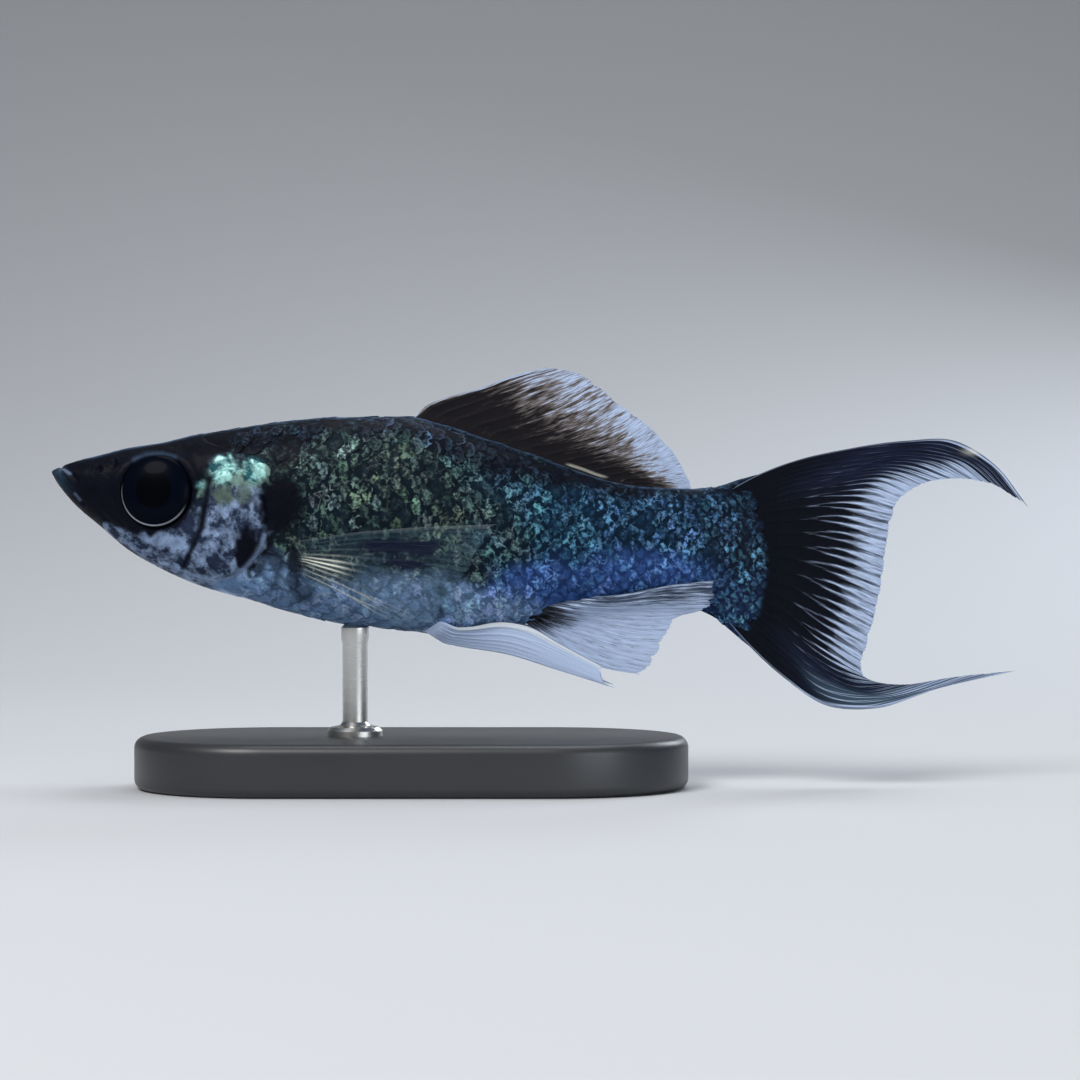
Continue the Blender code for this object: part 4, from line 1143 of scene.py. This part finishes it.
def ray_ridges(across, along, fork=0.42):
    """Height from 0 to 1 of the rays, which fork twice on their way out, at places across in rays."""
    middle = across % 1.0 - 0.5
    split = 0.23 * rise(along, fork, 0.3)
    again = 0.085 * rise(along, fork + 0.28, 0.25)
    width = 0.15 - 0.07 * rise(along, fork - 0.05, 0.35) - 0.02 * rise(along, 0.7, 0.3)
    return np.max([hump(middle - a * split - b * again, width) for a in (-1, 1) for b in (-1, 1)], axis=0)


class FinShape:
    """The grid of one fin: shares across and along it, its rays, its ragged edge and its (s, h) places."""

    def __init__(self, guides, rays, rows, seed, ragged, notch, per_ray=12):
        rng = np.random.default_rng(seed)
        self.rays = rays
        self.columns = np.linspace(0, 1, rays * per_ray + 1)
        self.u, self.v = self.columns[:, None], np.linspace(0, 1, rows)[None, :]
        across = self.columns * rays
        lumps = np.interp(across, np.arange(rays * 2 + 1) / 2, rng.uniform(-1, 1, rays * 2 + 1))
        reach = 1 - ragged * (0.5 + 0.5 * lumps) - notch * (1 - ray_ridges(across, 1.0))
        reach[[0, -1]] = 1.0
        self.places = fin_places(guides, self.columns, self.v * reach[:, None])
        self.s, self.h = self.places[:, :, 0], self.places[:, :, 1]
        self.ridge = ray_ridges(across[:, None], self.v) * (0.25 + 0.75 * rise(self.v, 0, 0.16))

    def plant(self, root_h, share):
        """Moves the rays' roots to these heights, and the rays less and less over this share of them."""
        self.h += (root_h - self.h[:, 0])[:, None] * fall(self.v, 0, share)

    def thickness(self, membrane, ray, root, root_share):
        spacing = np.linalg.norm(np.gradient(self.places, axis=0), axis=2) * len(self.columns) / self.rays
        room = np.clip(spacing / 0.9, 0.15, 1)
        thick = membrane + (ray * (1 - 0.72 * self.v**0.6) * room - membrane * 0.2) * self.ridge
        thick = thick + np.maximum(root - thick, 0) * fall(self.v, 0, root_share)
        fringe = np.minimum(self.u, 1 - self.u) * self.rays
        thick = thick * (0.55 + 0.45 * rise(fringe, 0, 0.25))
        return np.maximum(thick * (1 - rise(self.v, 0.97, 0.03) * 0.6), 0.06)

    def solid(self, name, side, thick, stain, bright, tint, material):
        """Makes the fin from its sideways places, its thickness, its stain and the stain's own colour."""
        columns, rows = shape = self.s.shape
        centre = np.stack([self.s, np.broadcast_to(side, shape), self.h], axis=2)
        normals = grid_normals(centre)
        for _ in range(2):
            normals[1:-1] = (normals[:-2] + 2 * normals[1:-1] + normals[2:]) / 4
            normals = unit(normals)
        sides = np.stack([centre + normals * (way * thick)[:, :, None] for way in (-0.5, 0.5)])
        grid = np.arange(columns * rows).reshape(shape)
        rim = np.concatenate([grid[:, 0], grid[-1, 1:], grid[-2::-1, -1], grid[0, -2:0:-1]])
        after = np.roll(rim, -1)
        front = grid_faces(columns, rows)
        edge = np.stack([rim, rim + grid.size, after + grid.size, after], axis=1)
        faces = np.concatenate([front[:, ::-1], front + grid.size, edge])
        rays_map = np.stack(np.broadcast_arrays(self.u * self.rays, self.v), axis=-1)
        stained = np.stack(np.broadcast_arrays(stain, self.ridge, bright, 1.0), axis=-1).reshape(-1, 4)
        tint = with_alpha(np.broadcast_to(np.asarray(tint, float), shape + (3,)), np.ones(shape))
        colours = {"stain": np.tile(np.clip(stained, 0, 1), (2, 1)), "tint": np.tile(tint, (2, 1))}
        uvs = {"Rays": np.tile(rays_map.reshape(-1, 2), (2, 1))}
        vertices = in_room(sides.reshape(-1, 3))
        piece = add_piece(name, vertices, faces, material, uvs, colours, smooth_up_to=55)
        face_outwards(piece)
        return piece


class MOLLY_OT_dorsal_fin(bpy.types.Operator):
    """The back fin, dark at its base and pale along its hind edge"""

    bl_idname = "molly.dorsal_fin"
    bl_label = "Back Fin"

    def execute(self, context):
        fins = context.scene.molly_fins
        fin = FinShape(DORSAL_GUIDES, 15, 64, seed=31, ragged=0.02, notch=0.006)
        fin.plant(BACK(np.sqrt(fin.s[:, 0])) - 0.35, 0.14)
        side = 0.6 * fin.v**1.5 * (1 - fin.u**3) * np.sin(2 * math.pi * (0.9 * fin.u + 0.15))
        thick = fin.thickness(fins.membrane / MM, fins.ray / MM * 0.6, 0.8, 0.10)
        above = fin.h - BACK(np.sqrt(fin.s))
        stain = 0.98 - 0.72 * rise(fin.v + 0.06 * fin.u, 0.10, 0.90) - 0.20 * rise(fin.s, 49.0, 3.6)
        stain += 0.30 * fall(fin.u, 0, 0.3) * (1 - fin.v)
        stain += 0.25 * fall(above, 0.2, 1.4) * fall(fin.v, 0.6, 0.3)
        stain *= 1 - 0.75 * fall(fin.u, 0.008, 0.014)
        # painted highlight: a thin pale line on the back fin where its base meets the back, for light
        # caught on a fold there
        bright = 0.8 * hump(above - 0.13, 0.062) * rise(fin.s, 44.6, 0.6) * fall(fin.s, 47.8, 0.7)
        material = make_fin_material(fins, "Back fin", 1.4, 0.88, 0.06, soft=0.12)
        piece = fin.solid("dorsal_fin_membrane", side, thick, stain, bright, fins.dark, material)
        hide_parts("dorsal_fin")
        return {"FINISHED"}


class MOLLY_OT_tail_fin(bpy.types.Operator):
    """The lyre-shaped tail fin with its two streamers, in one piece"""

    bl_idname = "molly.tail_fin"
    bl_label = "Tail Fin"

    def execute(self, context):
        fins = context.scene.molly_fins
        fin = FinShape(TAIL_GUIDES, 24, 84, seed=41, ragged=0.012, notch=0.008, per_ray=11)
        u, v = fin.u, fin.v
        thick = fin.thickness(fins.membrane / MM, fins.ray / MM, 0.62, 0.46)
        fin.ridge *= 0.22 + 0.78 * rise(v, 0.28, 0.24)
        # the upper streamer bends to the left and the lower one to the right
        reach = np.clip((fin.s - TAIL_ROOT) / (TAIL_TIP - TAIL_ROOT), 0, 1)
        ripple = 0.35 * np.sin(2 * math.pi * (1.5 * u + 0.1))
        side = reach**2 * (-1.7 + 2.7 * u) * rise(v, 0, 0.5) + ripple * reach
        lobe = np.maximum(fall(u, 0.20, 0.16), rise(u, 0.70, 0.12))
        lower = rise(u, 0.80, 0.1)
        underside = rise(u, 0.05, 0.07) * fall(u, 0.26, 0.08) * rise(v, 0.74, 0.26)
        stain = (1.2 - 1.05 * rise(v, 0.34, 0.66)) * (1 - lobe) + (1.05 - 0.30 * rise(v, 0.5, 0.5)) * lobe
        stain -= 0.60 * underside + 0.42 * lower * rise(v, 0.24, 0.28)
        stain *= (1 - 0.80 * fall(u, 0.006, 0.010)) * (1 - 0.85 * rise(u, 0.978, 0.012))
        cloud = np.clip(0.75 + 0.5 * grain(u * 90, v * 14, 2.4, 43), 0, 1)
        tint = blend(fins.tail_dark, fins.slate, 0.8 * lobe * rise(v, 0.22, 0.35) * cloud)
        tint = blend(tint, fins.web, 0.42 * lower * rise(v, 0.36, 0.25))
        nick = hump(np.hypot((fin.s - 80.0) / 0.7, (fin.h - 7.7) / 0.3), 1.0)
        material = make_fin_material(fins, "Tail fin", 0.75, 0.9, 0.66, "grey")
        piece = fin.solid("tail_fin_membrane", side, thick, stain, 0.5 * nick, tint, material)
        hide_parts("tail_fin_upper", "tail_fin_fan", "tail_fin_lower")
        return {"FINISHED"}


class MOLLY_OT_anal_fin(bpy.types.Operator):
    """The anal fin, whose upper rays sweep up over the left flank of the tail stalk"""

    bl_idname = "molly.anal_fin"
    bl_label = "Anal Fin"

    def execute(self, context):
        fins = context.scene.molly_fins
        fin = FinShape(ANAL_GUIDES, 10, 60, seed=51, ragged=0.045, notch=0.015)
        thick = fin.thickness(fins.membrane / MM, fins.ray / MM * 0.7, 0.35, 0.10)
        lean = 0.15 + 1.6 * fin.u**1.6 * rise(fin.v, 0, 0.42) * (1 - 0.15 * fin.v)
        sunk, clear = flank(fin.s, fin.h, -0.30), flank(fin.s, fin.h, 0.40 + thick / 2)
        side = -soft_max(lean, sunk + (clear - sunk) * rise(fin.v, 0, 0.22), 0.25)
        base = np.hypot((fin.s - 41.9) / 3.1, (fin.h + 6.3) / 1.5)
        stain = 0.68 - 0.60 * rise(base, 0.25, 1.5) + 0.34 * rise(fin.u, 0.62, 0.2)
        tint = blend(fins.dark, fins.slate, rise(fin.u, 0.5, 0.2))
        material = make_fin_material(fins, "Anal fin", 1.1, 0.88, 0.12, "grey", stripe=0.74)
        piece = fin.solid("anal_fin_membrane", side, thick, stain, 0.0, tint, material)
        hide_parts("anal_fin")
        return {"FINISHED"}


class MOLLY_OT_paired_fins(bpy.types.Operator):
    """The clear breast fins and the pale belly fins"""

    bl_idname = "molly.paired_fins"
    bl_label = "Paired Fins"

    def execute(self, context):
        fins = context.scene.molly_fins
        clear_web = make_fin_material(
            fins, "Breast fin", 0.62, 0.07, -0.04, "slate", 0.16, 0.45, light="web", soft=0.06
        )
        pale_web = make_fin_material(fins, "Belly fin", 0.2, 0.93, 0.05, stripe=0.94)
        for word, side, seed in (("left", -1, 61), ("right", 1, 71)):
            self.breast_fin(fins, word, side, seed, clear_web)
            self.belly_fin(fins, word, side, seed + 1, pale_web)
        return {"FINISHED"}

    def breast_fin(self, fins, word, side, seed, material):
        fin = FinShape(PECTORAL_GUIDES, 11, 56, seed, ragged=0.03, notch=0.012)
        u, v = fin.u, fin.v
        thick = fin.thickness(0.07, fins.ray / MM * 0.75, 0.7, 0.07)
        clear = flank(fin.s, fin.h, 0.75)
        root = flank(fin.s[:, :1], fin.h[:, :1]) - 0.25
        free = soft_max(clear, clear[:, :1] + 3.0 * v**1.4, 0.35)
        out = root + (free - root) * rise(v, 0, 0.12)
        shade = hump(u - 0.25, 0.11) * rise(v, 0.25, 0.2) * fall(v, 0.72, 0.2)
        streak = hump(u - 0.41, 0.05) * rise(v, 0.48, 0.1) * fall(v, 0.72, 0.1)
        bundle = hump(u - 0.60, 0.17) * rise(v, 0, 0.05) * fall(v, 0.20, 0.24)
        bright = bundle * (0.12 + fin.ridge**0.4) + 0.18 * fall(u, 0, 0.06)
        bright += 0.46 * rise(u, 0.74, 0.16) * fin.ridge * fall(v, 0.55, 0.4)
        stain, navy = 0.04 + 0.66 * np.maximum(shade, streak), 0.5 * np.array(fins.slate)
        piece = fin.solid("pectoral_fin_web_" + word, side * out, thick, stain, bright, navy, material)
        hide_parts("pectoral_fin_" + word)

    def belly_fin(self, fins, word, side, seed, material):
        fin = FinShape(PELVIC_GUIDES, 6, 60, seed, ragged=0.015, notch=0.006)
        root_side = 1.1 + 1.2 * fin.u
        fin.plant(belly_under(fin.s[:, 0], root_side[:, 0]) + 0.25, 0.12)
        thick = fin.thickness(fins.membrane / MM, fins.ray / MM * 0.9, 0.6, 0.1)
        hang = root_side + (2.9 - root_side) * fin.v
        clear = flank(fin.s, fin.h, 0.45 + thick / 2)
        out = hang + (soft_max(hang, clear, 0.3) - hang) * rise(fin.v, 0, 0.12)
        stain = 0.10 * (1 - fin.v)
        bright = 0.52 * rise(fin.u, 0.84, 0.14) * rise(fin.v, 0.04, 0.1)
        piece = fin.solid("pelvic_fin_web_" + word, side * out, thick, stain, bright, fins.slate, material)
        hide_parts("pelvic_fin_" + word)


# Eyes


def new_object(name, add, **values):
    """Adds a primitive by its operator, with nothing else selected, and names it."""
    if bpy.context.mode != "OBJECT":
        bpy.ops.object.mode_set(mode="OBJECT")
    bpy.ops.object.select_all(action="DESELECT")
    add(**values)
    piece = bpy.context.object
    piece.name = piece.data.name = name
    return piece


def select_edges(piece, wanted):
    """In edit mode, selects only the edges whose two ends pass this test."""
    bpy.ops.object.mode_set(mode="EDIT")
    bpy.ops.mesh.select_mode(type="EDGE")
    bpy.ops.mesh.select_all(action="DESELECT")
    bm = bmesh.from_edit_mesh(piece.data)
    for edge in bm.edges:
        edge.select_set(wanted(edge.verts[0].co, edge.verts[1].co))
    bmesh.update_edit_mesh(piece.data)


def eye_frame(side):
    """Where the eye sits and how it is turned, with its own +Z looking out of the head."""
    look = Vector((-math.sin(EYE_FORWARD), side * math.cos(EYE_FORWARD), math.sin(EYE_UPWARD))).normalized()
    place = Vector(in_room([EYE_S, side * EYE_SIDE, EYE_H]))
    return Matrix.Translation(place) @ look.to_track_quat("Z", "Y").to_matrix().to_4x4()


def make_eye_material():
    """Dark iris with a thin silver ring at its edge, read from each eye's map of radius and turn."""
    material, n, shader = new_material(
        "Eye", Roughness=0.3, Coat_Weight=0.012, Coat_Roughness=0.03, Specular_IOR_Level=0.012
    )
    own = n.outs("ShaderNodeUVMap", uv_map="Iris")[0]
    radius, turn, _ = n.outs("ShaderNodeSeparateXYZ", {"Vector": own})
    spokes = n.noise(n.stretched(own, 2.0, 26.0, 1.0), 4.0, 4.0)
    iris = n.mix(spokes, linear(4, 7, 15), linear(6, 10, 22))
    inner = n.mix(n.ramp(radius, 0.47, 0.53), (0.0012, 0.0014, 0.0026), iris)
    lower = n.maths("COSINE", (turn - 0.80) * (2 * math.pi)) * 0.5 + 0.5
    ring = n.ramp(radius, 0.935, 0.955) * (1.0 - n.ramp(radius, 0.970, 0.988)) * n.ramp(lower, 0.52, 0.82)
    ring = n.maths("MULTIPLY", ring, spokes * 0.8 + 0.6, clamp=True)
    n.drive(shader, Base_Color=n.mix(ring, inner, linear(158, 162, 172)), Metallic=ring * 0.7)
    return material


class MOLLY_OT_eyes(bpy.types.Operator):
    """Both eyeballs, with a domed front"""

    bl_idname = "molly.eyes"
    bl_label = "Eyes"

    def execute(self, context):
        material = make_eye_material()
        radius = EYE_RADIUS * MM
        for word, side in (("left", -1), ("right", 1)):
            add = bpy.ops.mesh.primitive_uv_sphere_add
            eye = new_object("eyeball_" + word, add, segments=64, ring_count=48, radius=radius)
            iris = eye.data.uv_layers.active
            iris.name = "Iris"
            for face in eye.data.polygons:
                places = [eye.data.vertices[i].co for i in face.vertices]
                turns = [math.atan2(y, x * side) / (2 * math.pi) % 1.0 for x, y, _ in places]
                crosses = max(turns) - min(turns) > 0.5
                for loop, turn, (x, y, z) in zip(face.loop_indices, turns, places):
                    share = math.hypot(x, y) / radius if z >= -0.1 * radius else 1.0
                    turn += 1.0 if crosses and turn < 0.5 else 0.0
                    iris.data[loop].uv = (min(share, 0.999), turn)
            for vertex in eye.data.vertices:
                vertex.co.z *= 0.30 if vertex.co.z > 0 else 0.74
            eye.data.materials.append(material)
            bpy.ops.object.shade_smooth()
            eye.data.transform(eye_frame(side))
            face_outwards(eye)
            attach(eye, "root")
            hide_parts("eye_" + word)
        return {"FINISHED"}


# Stand and studio


def brushed_metal():
    material, n, shader = new_material("Brushed steel", Metallic=1.0, Base_Color=(0.60, 0.60, 0.58))
    lines = n.noise(n.stretched(n.object_place(), 400.0, 400.0, 9000.0), 1.0, 3.0)
    n.drive(shader, Roughness=lines * 0.22 + 0.20, Normal=n.bump(lines, 0.15, 0.00003))
    return material


def satin_base(colour):
    material, n, shader = new_material("Satin base", Coat_Weight=0.12, Coat_Roughness=0.3)
    place = n.object_place()
    mottled = n.noise(place, 160.0, 4.0)
    shade = n.mix(mottled, tuple(0.85 * v for v in colour), tuple(1.15 * v for v in colour))
    bump = n.bump(n.noise(place, 5200.0, 2.0), 0.12, 0.00004)
    n.drive(shader, Base_Color=shade, Roughness=mottled * 0.12 + 0.36, Normal=bump)
    return material


class MOLLY_OT_stand(bpy.types.Operator):
    """The flat base and the rod with its foot ring and its cup under the belly"""

    bl_idname = "molly.stand"
    bl_label = "Stand"

    def execute(self, context):
        stand = context.scene.molly_stand
        low, high = (Vector(corner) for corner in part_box("stand_base"))
        self.base(stand, low, high)
        self.rod(stand, high.z)
        return {"FINISHED"}

    def base(self, stand, low, high):
        add = bpy.ops.mesh.primitive_cube_add
        base = new_object("display_base", add, size=1, location=(low + high) / 2)
        base.scale = high - low
        bpy.ops.object.transform_apply(location=True, rotation=False, scale=True)
        select_edges(base, lambda a, b: abs(a.z - b.z) > 0.5 * (high.z - low.z))
        bpy.ops.mesh.bevel(offset=BASE_CORNER, segments=24, profile=0.5)
        bpy.ops.object.mode_set(mode="OBJECT")
        bevel = base.modifiers.new("edges", "BEVEL")
        bevel.width = stand.edge
        bevel.segments = 6
        bevel.limit_method = "ANGLE"
        bevel.angle_limit = math.radians(50)
        bpy.ops.object.modifier_apply(modifier=bevel.name)
        base.data.materials.append(satin_base(tuple(stand.base_colour)))
        bpy.ops.object.shade_smooth_by_angle(angle=math.radians(30))
        face_outwards(base)
        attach(base, "root")
        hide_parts("stand_base")

    def rod(self, stand, foot):
        cup = (SWIM_HEIGHT + float(belly_under(np.array(ROD_S), np.array(0.0)))) * MM
        lines = [(0.0, foot - 0.4 * MM)]
        lines += [(stand.rod_radius + out * MM, foot + up * MM) for out, up in ROD_FOOT]
        lines += [(stand.rod_radius + out * MM, cup + up * MM) for out, up in ROD_CUP]
        lines += [(0.0, cup + 0.3 * MM)]
        add = bpy.ops.mesh.primitive_circle_add
        rod = new_object("display_rod", add, vertices=3, radius=stand.rod_radius)
        bm = bmesh.new()
        places = [bm.verts.new((x, 0.0, z)) for x, z in lines]
        for pair in zip(places, places[1:]):
            bm.edges.new(pair)
        bm.to_mesh(rod.data)
        bm.free()
        bpy.ops.object.mode_set(mode="EDIT")
        bpy.ops.mesh.select_all(action="SELECT")
        bpy.ops.mesh.spin(steps=48, angle=2 * math.pi, center=(0, 0, 0), axis=(0, 0, 1))
        bpy.ops.mesh.select_all(action="SELECT")
        bpy.ops.mesh.remove_doubles(threshold=0.00001)
        bpy.ops.mesh.normals_make_consistent(inside=False)
        bpy.ops.object.mode_set(mode="OBJECT")
        rod.location.x = (ROD_S - MIDDLE_S) * MM
        bpy.ops.object.transform_apply(location=True, rotation=False, scale=False)
        rod.data.materials.append(brushed_metal())
        bpy.ops.object.shade_smooth_by_angle(angle=math.radians(35))
        face_outwards(rod)
        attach(rod, "root")
        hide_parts("stand_rod")


class MOLLY_OT_studio(bpy.types.Operator):
    """Pale floor with a swept-up backdrop, soft lights and the camera"""

    bl_idname = "molly.studio"
    bl_label = "Studio"

    def execute(self, context):
        scene, studio = context.scene, context.scene.molly_studio
        self.backdrop(studio)
        self.world(scene, studio)
        for name, place, size, power, colour, aim in LIGHTS:
            data = bpy.data.lights.new(name, "AREA")
            data.shape = "DISK"
            data.size = size
            data.energy = power * studio.light
            data.color = colour
            light = bpy.data.objects.new("light_" + name, data)
            light.location = place
            light.rotation_euler = (Vector(aim) - light.location).to_track_quat("-Z", "Y").to_euler()
            scene.collection.objects.link(light)
        data = bpy.data.cameras.new("camera")
        data.lens = studio.lens
        data.sensor_width = 36.0
        data.clip_start, data.clip_end = 0.01, 20.0
        camera = bpy.data.objects.new("camera", data)
        camera.location = (CAMERA_X, -studio.distance, SWIM_HEIGHT * MM)
        camera.rotation_euler = (math.radians(90), 0.0, 0.0)
        scene.collection.objects.link(camera)
        scene.camera = camera
        return {"FINISHED"}

    def backdrop(self, studio):
        add = bpy.ops.mesh.primitive_plane_add
        floor = new_object("studio_floor", add, size=1.0, location=(0.0, 0.025, 0.0))
        floor.scale = (*FLOOR_SIZE, 1.0)
        bpy.ops.object.transform_apply(location=True, rotation=False, scale=True)
        far = 0.45 * FLOOR_SIZE[1]
        select_edges(floor, lambda a, b: min(a.y, b.y) > far)
        bpy.ops.mesh.extrude_region_move(TRANSFORM_OT_translate={"value": (0.0, 0.0, WALL_HEIGHT)})
        select_edges(floor, lambda a, b: min(a.y, b.y) > far and max(a.z, b.z) < 0.5 * WALL_HEIGHT)
        bpy.ops.mesh.bevel(offset=WALL_SWEEP, segments=32, profile=0.5)
        bpy.ops.object.mode_set(mode="OBJECT")
        bpy.ops.object.shade_smooth()
        material, n, shader = new_material("Studio paper", Roughness=0.85, Specular_IOR_Level=0.2)
        colour = tuple(studio.floor_colour)
        shade = n.mix(n.noise(n.object_place(), 9.0, 3.0), tuple(0.985 * v for v in colour), colour)
        n.drive(shader, Base_Color=shade)
        floor.data.materials.append(material)

    def world(self, scene, studio):
        """A dim light from all round, behind a plain grey that only the camera sees."""
        scene.view_settings.view_transform = "Standard"
        scene.world = bpy.data.worlds.new("studio_world")
        scene.world.use_nodes = True
        n, nodes = Nodes(scene.world.node_tree), scene.world.node_tree.nodes
        n.drive(nodes["Background"].inputs, Color=(0.82, 0.86, 0.92), Strength=0.10 * studio.light)
        given = Value(n, nodes["Background"].outputs[0])
        seen = n.outs("ShaderNodeBackground", {"Color": (0.42, 0.44, 0.47)})[0]
        camera_ray = n.outs("ShaderNodeLightPath")[0]
        both = n.outs("ShaderNodeMixShader", {0: camera_ray, 1: given, 2: seen})[0]
        n.drive(nodes["World Output"].inputs, Surface=both)


class MOLLY_PT_model(bpy.types.Panel):
    bl_label = "Molly Model"
    bl_idname = "MOLLY_PT_model"
    bl_space_type = "VIEW_3D"
    bl_region_type = "UI"
    bl_category = "Molly"

    def draw(self, context):
        for name, cls in SETTINGS.items():
            box = self.layout.box()
            box.label(text=name.split("_")[1].title())
            for key in cls.__annotations__:
                box.prop(getattr(context.scene, name), key)
        for operator in OPERATORS:
            self.layout.operator(operator.bl_idname)


SETTINGS = {
    "molly_body": MollyBodySettings,
    "molly_markings": MollyMarkingSettings,
    "molly_fins": MollyFinSettings,
    "molly_stand": MollyStandSettings,
    "molly_studio": MollyStudioSettings,
}
OPERATORS = (
    MOLLY_OT_studio,
    MOLLY_OT_skin,
    MOLLY_OT_scales,
    MOLLY_OT_eyes,
    MOLLY_OT_dorsal_fin,
    MOLLY_OT_tail_fin,
    MOLLY_OT_anal_fin,
    MOLLY_OT_paired_fins,
    MOLLY_OT_stand,
)
CLASSES = (*SETTINGS.values(), *OPERATORS, MOLLY_PT_model)


def register():
    for cls in CLASSES:
        bpy.utils.register_class(cls)
    for name, cls in SETTINGS.items():
        setattr(bpy.types.Scene, name, bpy.props.PointerProperty(type=cls))


def unregister():
    for name in SETTINGS:
        delattr(bpy.types.Scene, name)
    for cls in reversed(CLASSES):
        bpy.utils.unregister_class(cls)


def main():
    register()
    for operator in OPERATORS:
        category, name = operator.bl_idname.split(".")
        getattr(getattr(bpy.ops, category), name)()


if __name__ == "__main__":
    main()
